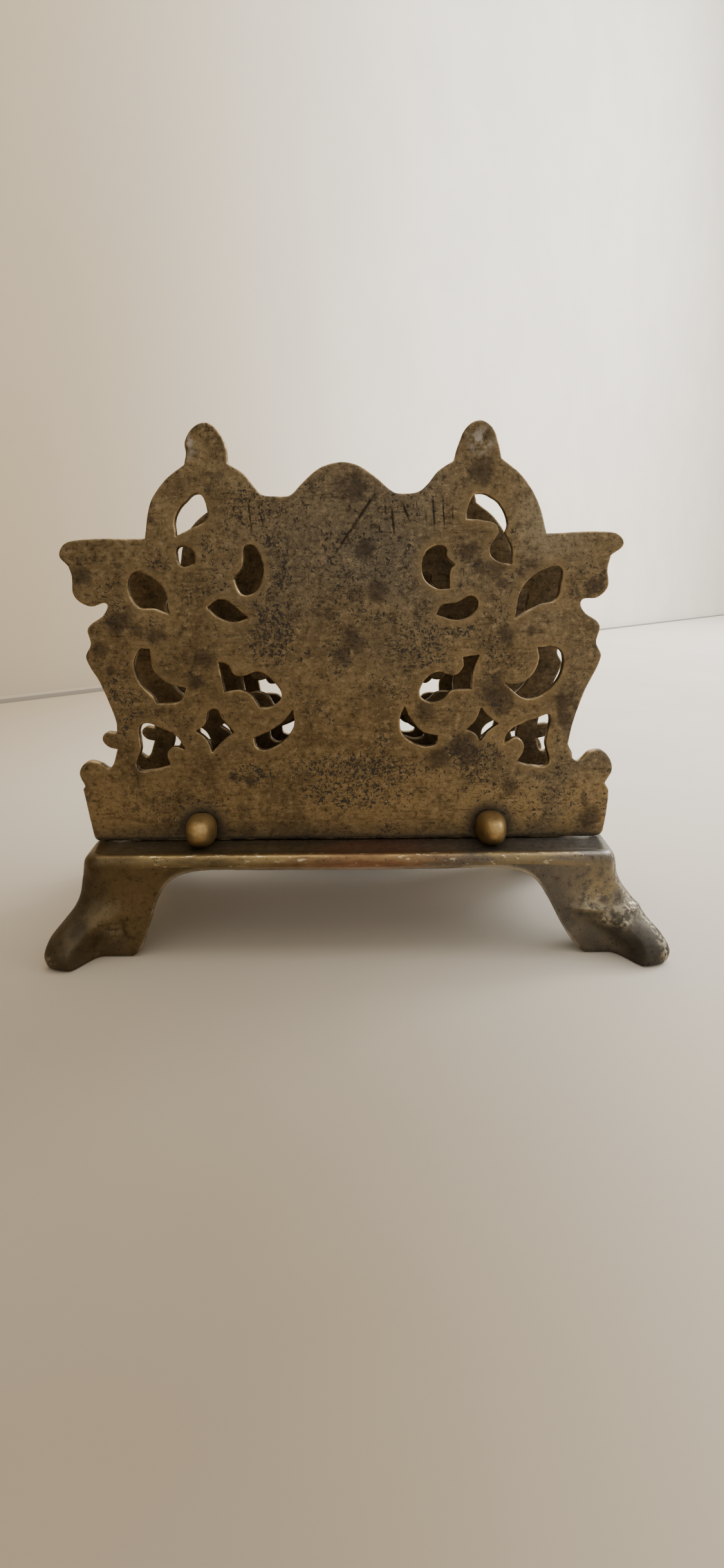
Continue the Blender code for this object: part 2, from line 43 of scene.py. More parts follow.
# Plates. The relief on their front faces is drawn for the back plate's size and shrunk to fit.
PLATES = {
    "back_plate": {"wide": 1.0, "tall": 1.0, "lug_side": -1.0, "ears": 1, "grid": 1.15},
    "middle_plate": {"wide": 0.935, "tall": 0.92, "lug_side": 1.0, "ears": 2, "grid": 1.15},
    "front_plate": {"wide": 0.88, "tall": 0.84, "lug_side": 1.0, "ears": 2, "grid": 0.8},
}
PLATE_THICKNESS = 3.0
ROD_HOLE_RADIUS = 1.9
EDGE_STEP = 0.75
EDGE_RINGS = (0.14, 0.34, 0.65, 1.1)
OUTLINE_ROUNDING = 0.6
HOLE_ROUNDING = 0.34
LUG_RADIUS = 3.6
LUG_HEIGHT = 8.0
LUG_OFFSET = 2.2
LUG_ROOT = 1.4
PLATE_PITCH = 27.0

# Base casting.
DECK_HALF_X = 88.0
DECK_HALF_Y = 45.0
DECK_CORNER_RADIUS = 5.0
END_FLARE = 3.4
END_BOW = 2.8
WALL = 3.0
BASE_X = 1.4
TOE_REACH_PLUS_X = 10.4
TOE_REACH_MINUS_X = 13.2
TOE_REACH_Y = 11.0
TOE_START = 6.5
TOE_FORWARD_START = 14.0
TOE_END = 33.0
TOE_WIDTH = 5.5
TOE_SLIDE = 18.0
OUTER_STEPS = 34
INNER_STEPS = 14
SCREW_HOLE_RADIUS = 1.5
BORE_STEPS = 24
# The arches' edges as (distance from the middle, height).
LONG_ARCH_PLUS_X = [
    (0.0, 31.0), (34.0, 31.2), (51.5, 31.0), (60.4, 28.0), (65.4, 21.9), (69.0, 12.6),
    (71.8, 4.6), (73.6, 1.6), (77.6, -1.0),
]
LONG_ARCH_MINUS_X = [
    (0.0, 31.0), (33.0, 31.2), (51.0, 31.2), (60.4, 28.0), (66.0, 20.6), (71.0, 11.2),
    (75.2, 4.6), (78.0, 1.4), (81.6, -1.0),
]
END_ARCH_HALF = [
    (0.0, 30.0), (10.0, 29.6), (17.0, 27.6), (22.5, 21.5), (27.0, 12.5), (30.4, 4.6),
    (32.2, 1.6), (36.0, -1.0),
]

CORNER = "corner"

# The plates' outline as (x, z) points, by half. The ears stand out beside the waist.
FOOT_PLUS_X = [
    (0.0, 0.0, CORNER), (86.6, 0.0), (88.5, 0.6), (89.2, 2.4), (91.2, 19.0, CORNER),
    (90.4, 20.0, CORNER), (91.8, 25.0), (88.4, 28.9), (84.0, 28.1), (81.0, 26.5),
]
TOP_PLUS_X = [
    (77.6, 43.0), (81.6, 55.6), (85.4, 64.0), (83.4, 68.5), (83.8, 73.6), (78.3, 77.8),
    (77.0, 81.4), (82.4, 80.5), (87.2, 83.8), (87.3, 90.0), (88.0, 93.0, CORNER), (90.6, 96.8),
    (86.8, 100.7), (62.8, 101.3, CORNER), (60.2, 111.9), (55.0, 118.6), (48.7, 123.0, CORNER),
    (48.0, 126.2), (48.0, 129.6), (45.5, 133.3), (41.5, 134.9), (38.0, 132.9), (35.6, 128.5),
    (35.2, 123.1, CORNER), (30.6, 120.4), (27.2, 116.3), (24.8, 114.0), (20.5, 113.6),
    (16.2, 113.9), (12.3, 117.4), (6.8, 121.7), (0.0, 123.4),
]
FOOT_MINUS_X = [
    (0.0, 0.0, CORNER), (86.8, 0.2), (89.6, 1.0), (90.6, 3.0), (91.4, 16.6), (89.9, 19.6, CORNER),
    (92.0, 25.0), (88.6, 30.9), (84.0, 31.0), (79.4, 27.6),
]
TOP_MINUS_X = [
    (77.4, 41.0), (80.6, 51.6), (85.2, 63.0), (83.3, 67.6), (83.9, 73.4), (78.4, 77.8),
    (77.6, 81.2), (82.6, 82.0), (85.8, 85.4), (85.2, 91.0), (86.0, 95.0, CORNER), (89.8, 98.6),
    (86.2, 102.0), (65.0, 101.9, CORNER), (61.8, 111.3), (56.6, 118.8), (49.8, 124.1, CORNER),
    (48.6, 128.4), (46.8, 132.6), (42.7, 134.9), (38.7, 133.0), (36.5, 128.7),
    (34.9, 123.5, CORNER), (30.2, 120.6), (26.8, 116.7), (24.0, 114.6), (19.8, 114.1),
    (16.2, 114.6), (10.8, 118.9), (5.4, 122.3), (0.0, 123.4),
]
PLAIN_WAIST_MINUS_X = [(76.2, 33.6, CORNER)]
EAR_PLUS_X = [(78.0, 33.0, CORNER), (81.0, 33.9), (82.8, 36.6), (81.0, 39.0), (77.6, 38.7, CORNER)]
EAR_MINUS_X = [(76.8, 32.6, CORNER), (81.0, 33.9), (82.8, 36.6), (81.0, 39.0), (77.0, 38.7, CORNER)]

# The piercings, each filed by hand, so the halves differ a little.
HOLES_PLUS_X = {
    "arch": [
        (44.6, 114.4), (42.3, 109.2), (43.0, 106.6), (49.2, 103.6, CORNER), (52.9, 101.9, CORNER),
        (52.6, 107.4), (49.2, 112.0),
    ],
    "bead": [
        (52.4, 98.4), (49.8, 98.8), (47.4, 97.2), (47.4, 93.6, CORNER), (51.8, 92.8), (53.0, 96.4),
    ],
    "crescent": [
        (31.0, 98.6), (28.4, 98.9), (25.5, 92.6), (27.0, 86.2), (30.8, 83.6), (33.6, 84.6),
        (35.2, 89.0, CORNER), (32.4, 92.0), (31.6, 95.6),
    ],
    "shield": [
        (67.6, 90.6), (64.0, 90.8), (58.0, 86.0), (56.6, 77.8, CORNER), (61.6, 79.6),
        (67.2, 80.4), (69.4, 86.6),
    ],
    "leaf": [
        (39.4, 82.4), (36.0, 80.8), (31.2, 76.4, CORNER), (36.0, 75.2), (41.0, 76.8),
        (44.2, 79.8, CORNER), (42.0, 81.6),
    ],
    "horn": [
        (67.2, 66.6), (64.2, 66.7, CORNER), (63.4, 60.0), (59.0, 55.6), (53.0, 53.8, CORNER),
        (54.8, 49.8), (57.0, 48.8), (63.2, 48.6, CORNER), (64.2, 51.0), (68.2, 55.4), (69.7, 62.0),
    ],
    "scroll": [
        (41.6, 62.2, CORNER), (38.8, 61.4), (36.4, 57.8), (33.4, 57.6), (28.6, 58.9), (23.0, 55.0),
        (21.2, 50.6), (24.4, 47.4), (28.8, 47.0, CORNER), (31.4, 51.4), (35.2, 53.0),
        (40.2, 52.4, CORNER),
    ],
    "star": [
        (43.6, 46.6), (41.6, 43.4), (37.8, 38.6, CORNER), (41.4, 36.0), (45.6, 31.8, CORNER),
        (47.0, 36.0), (50.6, 39.2, CORNER), (47.2, 41.6), (46.2, 45.4),
    ],
    "comma": [
        (17.5, 46.0, CORNER), (17.4, 40.6), (21.4, 35.2), (27.4, 32.4), (30.4, 33.6),
        (31.0, 36.6, CORNER), (26.0, 38.7), (20.8, 42.0),
    ],
    "foot": [
        (68.8, 41.5), (61.0, 39.6), (57.0, 37.0), (54.8, 32.8, CORNER), (58.4, 33.8), (60.8, 31.6),
        (60.2, 27.2, CORNER), (66.0, 25.7), (71.6, 26.2), (69.8, 33.0),
    ],
}
HOLES_MINUS_X = {
    "arch_and_bead": [
        (39.6, 109.8), (41.8, 113.6), (46.0, 113.2), (50.4, 109.8), (52.4, 104.6),
        (51.6, 102.2, CORNER), (54.2, 97.2), (54.2, 92.6, CORNER), (49.0, 93.8), (47.0, 97.2),
        (49.8, 102.4, CORNER), (48.6, 104.8), (44.0, 106.0), (39.4, 106.4, CORNER),
    ],
    "crescent": [
        (29.6, 98.4), (32.8, 97.8), (33.4, 94.8), (36.0, 92.6, CORNER), (34.6, 90.6),
        (34.4, 85.2, CORNER), (30.6, 85.2), (26.6, 87.8), (25.4, 92.4), (26.6, 96.4),
    ],
    "shield": [
        (67.0, 91.8), (70.4, 91.0), (70.2, 86.4), (69.0, 81.4), (63.8, 79.8), (56.0, 75.6, CORNER),
        (57.4, 84.0), (61.0, 88.8),
    ],
    "leaf": [
        (41.2, 82.8), (43.8, 81.0), (42.0, 77.0), (37.0, 75.2), (30.4, 77.0, CORNER),
        (32.0, 79.9), (37.0, 80.8),
    ],
    "horn": [
        (63.9, 66.3, CORNER), (69.6, 66.3), (72.5, 63.6), (71.8, 56.6), (66.4, 50.6), (60.4, 49.3),
        (53.6, 54.4, CORNER), (58.8, 54.5), (62.8, 57.6), (64.6, 62.4),
    ],
    "scroll": [
        (44.6, 63.8, CORNER), (42.7, 58.0), (42.6, 52.6, CORNER), (36.0, 52.2), (32.6, 49.2),
        (28.8, 48.2), (25.4, 50.6), (26.4, 55.0), (31.0, 58.4), (36.6, 57.2), (39.6, 60.0),
        (39.5, 63.2, CORNER),
    ],
    "star": [
        (46.0, 46.2, CORNER), (48.4, 43.4), (52.0, 40.8, CORNER), (48.8, 38.4), (46.0, 35.0, CORNER),
        (44.2, 37.4), (41.2, 38.8, CORNER), (44.2, 42.0),
    ],
    "comma": [
        (20.2, 47.0, CORNER), (18.7, 42.6), (19.8, 37.2), (25.6, 33.5), (30.8, 33.9),
        (31.4, 36.8, CORNER), (26.4, 38.2), (22.6, 42.0),
    ],
    "foot": [
        (69.2, 43.6), (66.0, 43.0), (57.8, 39.8), (55.0, 37.2), (54.2, 33.8, CORNER), (58.4, 36.0),
        (61.1, 32.8), (59.0, 27.4, CORNER), (64.0, 26.2), (69.6, 26.6), (68.4, 34.0),
    ],
}

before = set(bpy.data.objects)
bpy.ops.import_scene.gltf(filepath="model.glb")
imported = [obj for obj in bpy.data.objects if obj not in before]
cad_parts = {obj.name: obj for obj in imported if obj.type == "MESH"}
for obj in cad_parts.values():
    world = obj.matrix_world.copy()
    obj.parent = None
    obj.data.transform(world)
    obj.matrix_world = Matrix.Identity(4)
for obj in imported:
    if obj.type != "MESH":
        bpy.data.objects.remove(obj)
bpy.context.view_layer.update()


# ---------------------------------------------------------------------------------------- helpers


def box_mm(node):
    """A CAD node's lowest and highest corners in millimetres."""
    low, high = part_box(node)
    return low / MM, high / MM


def middle_of(*nodes):
    """The middle of one or more CAD nodes' boxes, in millimetres."""
    corners = [corner for node in nodes for corner in box_mm(node)]
    return sum(corners, Vector()) / len(corners)


def smoothstep(t):
    """Rise smoothly from 0 to 1, for numbers and arrays."""
    t = np.clip(t, 0.0, 1.0)
    return t * t * (3.0 - 2.0 * t)


def bell(t):
    """A smooth bump, 1 in the middle."""
    return np.exp(-t * t)


def wobble(points, wavelength, seed=0.0):
    """Smooth noise between about -1 and 1 at each (x, y, z)."""
    scale = 1.0 / wavelength
    offset = Vector((seed, 2.0 * seed, -seed))
    return np.array([noise.noise(Vector(point) * scale + offset) for point in points])


def placed(name, data):
    """Put a mesh, light or camera in the scene."""
    thing = bpy.data.objects.new(name, data)
    bpy.context.scene.collection.objects.link(thing)
    return thing


def make_piece(name, verts, faces, material, stands_for=None, masks=None, sharp=50.0):
    """Build a piece from points in millimetres, shade it, and tie it to the frame."""
    mesh = bpy.data.meshes.new(name)
    mesh.from_pydata([tuple(v) for v in np.asarray(verts) * MM], [], faces)
    mesh.update()
    for mask, values in (masks or {}).items():
        layer = mesh.attributes.new(mask, "FLOAT", "POINT")
        layer.data.foreach_set("value", np.asarray(values, dtype=np.float32))
    mesh.shade_smooth()
    mesh.set_sharp_from_angle(angle=math.radians(sharp))
    mesh.materials.append(material)
    piece = placed(name, mesh)
    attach(piece, "root")
    if stands_for:
        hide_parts(stands_for)
    return piece


def turned(profile, segments):
    """Spin (along, radius) pairs about Z. A profile that starts off the axis is closed on itself."""
    verts = []
    rings = []
    for along, radius in profile:
        if radius < 1e-6:
            rings.append([len(verts)] * segments)
            verts.append((0.0, 0.0, along))
            continue
        rings.append(list(range(len(verts), len(verts) + segments)))
        for step in range(segments):
            turn = 2 * math.pi * step / segments
            verts.append((radius * math.cos(turn), radius * math.sin(turn), along))
    faces = []
    if profile[0][1] > 1e-6 and profile[-1][1] > 1e-6:
        rings.append(rings[0])
    for lower, upper in zip(rings, rings[1:]):
        for step in range(segments):
            after = (step + 1) % segments
            face = list(dict.fromkeys([upper[step], upper[after], lower[after], lower[step]]))
            if len(face) > 2:
                faces.append(face)
    return np.array(verts), faces


def aimed(verts, place, direction):
    """Turn points made about Z to a direction and move them to a place."""
    rotation = Vector((0.0, 0.0, 1.0)).rotation_difference(Vector(direction)).to_matrix()
    return np.array([rotation @ Vector(v) for v in verts]) + np.array(place)


# ------------------------------------------------------------------------------------- materials


class Wire:
    """A node's output, which adds, subtracts and multiplies like a number."""

    def __init__(self, graph, socket):
        self.graph = graph
        self.socket = socket

    def __add__(self, other):
        return self.graph.maths("ADD", self, other)

    def __sub__(self, other):
        return self.graph.maths("SUBTRACT", self, other)

    def __rsub__(self, other):
        return self.graph.maths("SUBTRACT", other, self)

    def __mul__(self, other):
        return self.graph.maths("MULTIPLY", self, other)


class Graph:
    """A short way to write a material's nodes. Its values are Wires and plain numbers."""

    def __init__(self, name):
        self.material = bpy.data.materials.new(name)
        self.material.use_nodes = True
        self.tree = self.material.node_tree
        self.place = self.node("ShaderNodeTexCoord", out="Object")
        self.x, self.y, self.z = (self.node("ShaderNodeSeparateXYZ", {0: self.place}, a) for a in "XYZ")

    def node(self, kind, inputs=None, out=0, **settings):
        """Add a node, set its properties, fill its inputs, and give one of its outputs."""
        node = self.tree.nodes.new(kind)
        for key, value in settings.items():
            setattr(node, key, value)
        for key, value in (inputs or {}).items():
            self.fill(node.inputs[key], value)
        return Wire(self, node.outputs[out])

    def fill(self, socket, value):
        """Join a wire to an input, or set the input's own value."""
        if isinstance(value, Wire):
            self.tree.links.new(value.socket, socket)
        else:
            socket.default_value = (*value, 1.0) if socket.type == "RGBA" else value

    def maths(self, operation, a, b=0.0, clamp=False):
        """One maths step on numbers."""
        return self.node("ShaderNodeMath", {0: a, 1: b}, operation=operation, use_clamp=clamp)

    def stretched(self, stretch):
        """The place, stretched along each axis."""
        return self.node("ShaderNodeMapping", {"Vector": self.place, "Scale": stretch})

    def grain(self, size_mm, detail=4.0, roughness=0.55, stretch=(1.0, 1.0, 1.0), distortion=0.0):
        """Noise from 0 to 1 with features of about this size."""
        inputs = {
            "Vector": self.stretched(stretch),
            "Scale": 1.0 / (size_mm * MM),
            "Detail": detail,
            "Roughness": roughness,
            "Distortion": distortion,
        }
        return self.node("ShaderNodeTexNoise", inputs)

    def ramp(self, value, low, high, start=0.0, end=1.0):
        """Map low..high to start..end, held at both ends, with a smooth rise."""
        inputs = {"Value": value, 1: low, 2: high, 3: start, 4: end}
        return self.node("ShaderNodeMapRange", inputs, interpolation_type="SMOOTHSTEP")

    def paint(self, colour, coats):
        """Lay coats over a colour, each as (amount, tint)."""
        for amount, tint in coats:
            inputs = {0: amount, 6: colour, 7: tint}
            colour = self.node("ShaderNodeMix", inputs, 2, data_type="RGBA", clamp_factor=True)
        return colour

    def flecks(self, colour, rows):
        """Tint a colour where a grain lies past a level, by rows (grain, from, to, amount, tint)."""
        for grain, low, high, amount, tint in rows:
            colour = self.paint(colour, [(self.ramp(grain, low, high, 0.0, amount), tint)])
        return colour

    def mask(self, name):
        """A value stored on the mesh's points."""
        return self.node("ShaderNodeAttribute", out="Fac", attribute_name=name)

    def near(self, point_mm, radius_mm, stretch=(1.0, 1.0, 1.0)):
        """1 at a point, falling to 0 at a radius."""
        centre = tuple(c * s * MM for c, s in zip(point_mm, stretch))
        ends = {0: self.stretched(stretch), 1: centre}
        away = self.node("ShaderNodeVectorMath", ends, "Value", operation="DISTANCE")
        return self.ramp(away, 0.0, radius_mm * MM, 1.0, 0.0)

    def most(self, values):
        """The largest of several numbers."""
        result = values[0]
        for value in values[1:]:
            result = self.maths("MAXIMUM", result, value)
        return result

    def line(self, start, end, width_mm):
        """1 along a scratch in the XZ plane from one (x, z) to another, fading across its width."""
        run = Vector(end) - Vector(start)
        length = run.length * MM
        along_x, along_z = run.normalized()
        dx = self.x - start[0] * MM
        dz = self.z - start[1] * MM
        along = dx * along_x + dz * along_z
        across = self.maths("ABSOLUTE", dx * along_z - dz * along_x)
        begun = self.ramp(along, -0.5 * MM, 2.0 * MM)
        going = self.ramp(along, length - 3.0 * MM, length, 1.0, 0.0)
        return self.ramp(across, 0.0, width_mm * MM, 1.0, 0.0) * begun * going

    def finish(self, colour, roughness, metallic, height, depth_mm):
        """Join the results to the shader."""
        relief = {"Height": height, "Distance": depth_mm * MM, "Strength": 1.0}
        results = {
            "Base Color": colour,
            "Roughness": roughness,
            "Metallic": metallic,
            "Normal": self.node("ShaderNodeBump", relief),
        }
        for key, value in results.items():
            self.fill(self.tree.nodes["Principled BSDF"].inputs[key], value)
        return self.material


TAN = (0.225, 0.156, 0.074)
UMBER = (0.135, 0.092, 0.043)
SLATE = (0.140, 0.111, 0.072)
PALE = (0.36, 0.265, 0.145)
DARK = (0.034, 0.023, 0.012)
NEAR_BLACK = (0.013, 0.009, 0.005)
RED = (0.150, 0.056, 0.032)
BRIGHT = (0.50, 0.36, 0.18)
# A stretch that makes a spot in the XZ plane reach through the whole depth.
ANY_DEPTH = (1.0, 0.0, 1.0)

# Dark stains on the back plate as (x, z, radius).
STAINS = [
    (0, 105, 5), (4, 101, 4), (-8, 121, 4), (-4, 134, 4), (1, 152, 6), (-40, 157, 5), (-37, 133, 4),
    (-41, 128, 4), (-46, 127, 4), (-48, 123, 3), (-58, 129, 3), (-78, 122, 4), (-58, 108, 2),
    (-50, 106, 4), (-48, 87, 8), (-24, 82, 5), (-71, 84, 5), (-71, 78, 4), (-65, 77, 3),
    (-38, 69, 7), (-29, 65, 5), (-53, 55, 4), (-82, 44, 5), (87, 126, 4), (71, 109, 3), (65, 107, 4),
    (77, 112, 5), (50, 100, 5), (53, 92, 3), (84, 103, 3), (81, 96, 2), (36, 58, 3), (42, 59, 2),
]
# Where the back plate is pitted most, as (x, z, half width, half height, amount).
PITTED = [
    (26, 128, 7, 14, 0.85), (27, 108, 8, 12, 1.0), (-2, 130, 24, 13, 0.55), (4, 116, 12, 8, 0.5),
    (-22, 104, 11, 9, 0.8), (-34, 110, 7, 5, 0.9), (0, 62, 24, 5, 1.0), (0, 54, 20, 7, 0.9),
    (-40, 66, 10, 8, 0.9), (36, 60, 8, 4, 1.0), (-52, 92, 10, 8, 0.5), (60, 74, 10, 8, 0.4),
    (62, 50, 22, 6, 0.40), (-62, 52, 20, 8, 0.5), (76, 118, 8, 10, 0.6), (-74, 124, 9, 6, 0.5),
    (70, 92, 6, 10, 0.6), (-16, 148, 16, 6, 0.45), (22, 150, 10, 8, 0.5),
]


def nodes_named(*starts):
    """The CAD nodes whose names start this way, each with its corners in millimetres."""
    return [(node, *box_mm(node)) for node in sorted(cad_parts) if node.startswith(starts)]


def near_nuts(g, radius_mm, stretch=(1.0, 1.0, 1.0)):
    """1 at the middle of each ball nut, falling to 0 at a radius."""
    middles = [(low + high) / 2 for _, low, high in nodes_named("ball_nut")]
    return g.most([g.near(tuple(middle), radius_mm, stretch) for middle in middles])


def plate_brass(name, marks=False):
    """Old cast brass: tan and brown, dark pits in fields, soft stains, soot in the joints."""
    g = Graph(name)
    drift = g.grain(38.0, 3.0)
    cloud = g.grain(12.0, 5.0, 0.6, distortion=0.4)
    mottle = g.grain(2.4, 6.0, 0.68)
    speck = g.grain(1.1, 4.0, 0.6, stretch=(0.7, 1.0, 1.0))
    fine = g.grain(0.55, 4.0, 0.62)
    brushed = g.grain(1.0, 4.0, 0.6, stretch=(0.16, 1.0, 1.0))
    # Greyer high up and towards -X, warmer near the foot, paler on the -X shoulder.
    high = g.near((-6.0, 0.0, 132.0), 62.0, (0.8, 0.0, 1.0))
    greyer = g.most([high, g.ramp(g.x, -0.01, -0.08, 0.0, 0.85)]) * g.ramp(drift, 0.36, 0.60, 0.4, 1.0)
    warmer = g.ramp(g.z, 66.0 * MM, 48.0 * MM) * g.ramp(cloud, 0.62, 0.44, 0.2, 0.75)
    colour = g.paint(TAN, [
        (g.ramp(cloud, 0.36, 0.66), UMBER),
        (greyer, SLATE),
        (warmer, (0.285, 0.196, 0.090)),
        (g.near((-62.0, 0.0, 141.0), 20.0, ANY_DEPTH) * 0.8, (0.26, 0.21, 0.13)),
    ])
    colour = g.flecks(colour, [
        (mottle, 0.50, 0.70, 0.56, PALE),
        (mottle, 0.48, 0.31, 0.64, DARK),
        (speck, 0.45, 0.32, 0.60, DARK),
        (speck, 0.56, 0.68, 0.45, PALE),
        (brushed, 0.47, 0.30, 0.45, DARK),
        (fine, 0.47, 0.32, 0.50, DARK),
    ])
    # Metal round the piercings was cleaned by the file: paler, with few pits.
    band = g.mask("band")
    # Pits: fields of small crumbs, and a few anywhere.
    loose = g.ramp(g.grain(21.0, 3.0), 0.52, 0.70, 0.0, 0.8)
    field = g.maths("MULTIPLY", g.most([g.mask("pitted"), loose]), 1.0 - band, clamp=True)
    pits = g.ramp(g.grain(1.15, 3.0, 0.6, distortion=1.0) - field * 0.150, 0.360, 0.305)
    # Stains with ragged edges.
    ragged = (g.grain(3.4, 5.0, 0.65) - 0.5) * 1.5
    stain = g.ramp(g.mask("stain") + ragged, 0.30, 0.85)
    stray = g.ramp(g.grain(6.5, 5.0, 0.66), 0.39, 0.31, 0.0, 0.85)
    # Pale tips on the finials.
    tips = g.most([g.near((x, 0.0, z), 6.0, ANY_DEPTH) for x, z in ((52.0, 164.5), (-39.5, 165.5))])
    tips = tips * g.ramp(g.grain(2.4, 4.0, 0.6), 0.42, 0.58, 0.0, 0.8)
    # Soot round the nuts and where the plate meets the deck.
    halo = g.ramp(near_nuts(g, 13.5, (1.0, 0.35, 1.0)), 0.0, 0.62) * g.ramp(mottle, 0.30, 0.55, 0.7, 1.0)
    joint = g.ramp(g.z, 39.2 * MM, 36.8 * MM)
    darkening = g.most([halo, joint, g.ramp(g.z, 44.0 * MM, 37.0 * MM, 0.0, 0.35)])
    # Rubbed edges.
    wear = g.mask("edge") * g.ramp(g.grain(6.0, 5.0, 0.6), 0.44, 0.62, 0.0, 0.75)
    scratches = plate_marks(g) if marks else 0.0
    colour = g.paint(colour, [
        (band * 0.45, TAN),
        (pits * 0.88, NEAR_BLACK),
        (g.most([stain, stray]) * 0.60, (0.030, 0.021, 0.016)),
        (tips, (0.33, 0.30, 0.26)),
        (darkening * 0.92, NEAR_BLACK),
        (wear, BRIGHT),
        (g.mask("hollow") * 0.7, NEAR_BLACK),
        # Without marks, a dark coat over the whole plate: painted shade for the middle and front plates.
        (scratches * 0.92, NEAR_BLACK) if marks else (0.30, DARK),
    ])
    roughness = g.ramp(cloud, 0.3, 0.7, 0.38, 0.50) + pits * 0.25 - wear * 0.12
    metallic = 0.90 - g.most([darkening, pits]) * 0.6
    height = fine * 0.30 + brushed * 0.28 + mottle * 0.45 - pits * 0.70 - scratches * 0.8
    return g.finish(colour, roughness, metallic, height, 0.14)


def plate_marks(g):
    """File marks below the crest and one long scratch on the back plate."""
    # Each mark as (x, z) at its ends and its half width.
    marks = [
        ((-7.5, 151.0), (6.5, 131.5), 0.850), ((-10.0, 149.0), (-10.5, 143.0), 0.578),
        ((-12.2, 146.5), (-13.2, 137.0), 0.680), ((-15.2, 148.5), (-18.6, 140.5), 0.680),
        ((-20.0, 148.5), (-20.2, 145.0), 0.442), ((-22.8, 145.5), (-23.4, 139.5), 0.510),
        ((-25.0, 150.0), (-26.0, 138.5), 0.578), ((-28.2, 149.0), (-29.0, 139.5), 0.408),
        ((-31.4, 147.0), (-31.6, 141.0), 0.476), ((-8.2, 142.0), (-8.6, 137.0), 0.510),
        ((32.8, 148.5), (32.0, 138.0), 0.544), ((29.6, 146.0), (28.0, 140.0), 0.442),
    ]
    return g.most([g.line(*mark) for mark in marks]) * g.ramp(g.grain(2.0, 3.0), 0.34, 0.50, 0.45, 1.0)


def base_brass():
    """The base: smoother, dark brown towards +X, grey towards -X, a painted highlight on the rubbed
    rolled edge.
    """
    g = Graph("base_brass_fine")
    cloud = g.grain(13.0, 6.0, 0.6, distortion=0.5)
    mottle = g.grain(3.0, 6.0, 0.66)
    fine = g.grain(0.6, 4.0, 0.62)
    smear = g.grain(6.0, 5.0, 0.62, stretch=(0.22, 0.6, 1.0))
    # A painted reflection: the base turns grey towards -X, the brighter side.
    grey = g.paint((0.142, 0.120, 0.090), [(g.ramp(cloud, 0.38, 0.60), (0.100, 0.089, 0.076))])
    warm = g.near((72.0, 45.0, 13.0), 24.0) * g.ramp(mottle, 0.36, 0.60)
    tan_patch = g.near((-82.0, 45.0, 23.0), 15.0) * g.ramp(mottle, 0.40, 0.62)
    colour = g.paint((0.127, 0.088, 0.041), [
        (g.ramp(cloud, 0.38, 0.62), (0.084, 0.060, 0.029)),
        (g.ramp(g.x, 0.02, -0.06) * 0.88, grey),
        (warm, (0.165, 0.116, 0.056)),
        (tan_patch, (0.248, 0.192, 0.104)),
    ])
    colour = g.flecks(colour, [
        (mottle, 0.52, 0.76, 0.45, (0.205, 0.150, 0.078)),
        (mottle, 0.47, 0.30, 0.60, DARK),
        (fine, 0.46, 0.32, 0.35, DARK),
    ])
    # A painted reflection of the bright wall on the deck's -X end.
    end_ledge_reflection = g.ramp(g.x, -0.045, -0.085) * g.ramp(g.z, 0.0352, 0.0360)
    # A red-brown stain along the middle of the rear apron.
    stain = g.near((-4.0, 45.0, 33.0), 46.0, (1.0, 1.0, 4.0)) * g.ramp(smear, 0.38, 0.52, 0.0, 0.95)
    # The deck darker from the channel inwards, soot at the plates' feet, painted contact shadow under the
    # nuts.
    darkening = g.most([near_nuts(g, 12.0), g.mask("channel")])
    patchy = g.ramp(g.grain(1.4, 4.0, 0.7), 0.36, 0.60, 1.0, 0.45)
    # Rubbed metal with a painted highlight on the rolled edge, with chips of bare metal.
    edge = g.mask("edge") * g.ramp(g.x, 0.082, 0.066) * g.ramp(g.x, -0.086, -0.070)
    wear = edge * g.ramp(smear, 0.40, 0.62, 0.0, 0.72)
    chips = edge * g.ramp(g.grain(1.7, 4.0, 0.6, stretch=(0.4, 1.0, 1.0)), 0.60, 0.66)
    # Painted highlights on the rear feet.
    polish = g.mask("polish") * g.ramp(g.grain(1.6, 4.0, 0.6), 0.42, 0.60, 0.0, 0.85)
    shaded = g.mask("shade") * g.ramp(cloud, 0.34, 0.62, 0.95, 0.6)
    colour = g.paint(colour, [
        (end_ledge_reflection * 0.75, (0.235, 0.225, 0.205)),
        (stain, RED),
        # The deck's darkening and the painted contact shadow under the nuts.
        (darkening * patchy, NEAR_BLACK),
        (wear, (0.310, 0.216, 0.088)),
        (chips, (0.496, 0.408, 0.260)),
        # A painted highlight along the arch rims.
        (g.mask("rim") * g.ramp(smear, 0.36, 0.60, 0.25, 1.0), (0.46, 0.39, 0.28)),
        (shaded, (0.040, 0.036, 0.030)),
        (polish, (0.48, 0.41, 0.28)),
        (g.ramp(g.grain(1.0, 2.0, 0.5), 0.345, 0.29) * 0.6, NEAR_BLACK),
    ])
    roughness = g.ramp(cloud, 0.3, 0.7, 0.36, 0.48) + shaded * 0.26 - g.most([wear, polish]) * 0.14
    height = fine * 0.25 + mottle * 0.5 + g.grain(8.0, 3.0) * 1.6 + polish * 0.9
    return g.finish(colour, roughness, 0.92 - darkening * 0.6, height, 0.12)


def turned_brass(name, tone, root):
    """Turned brass with a little tarnish and soot at the root."""
    g = Graph(name)
    cloud = g.grain(3.2, 6.0, 0.65)
    darkening = g.mask("root") * root
    colour = g.flecks(tone, [(cloud, 0.40, 0.66, 0.65, UMBER), (cloud, 0.62, 0.75, 0.5, NEAR_BLACK)])
    colour = g.paint(colour, [(darkening, NEAR_BLACK)])
    roughness = g.ramp(cloud, 0.3, 0.7, 0.38, 0.52)
    return g.finish(colour, roughness, 0.86 - darkening * 0.5, g.grain(0.35, 4.0, 0.6) * 0.3 + cloud, 0.05)


# ----------------------------------------------------------------------------------------- plates


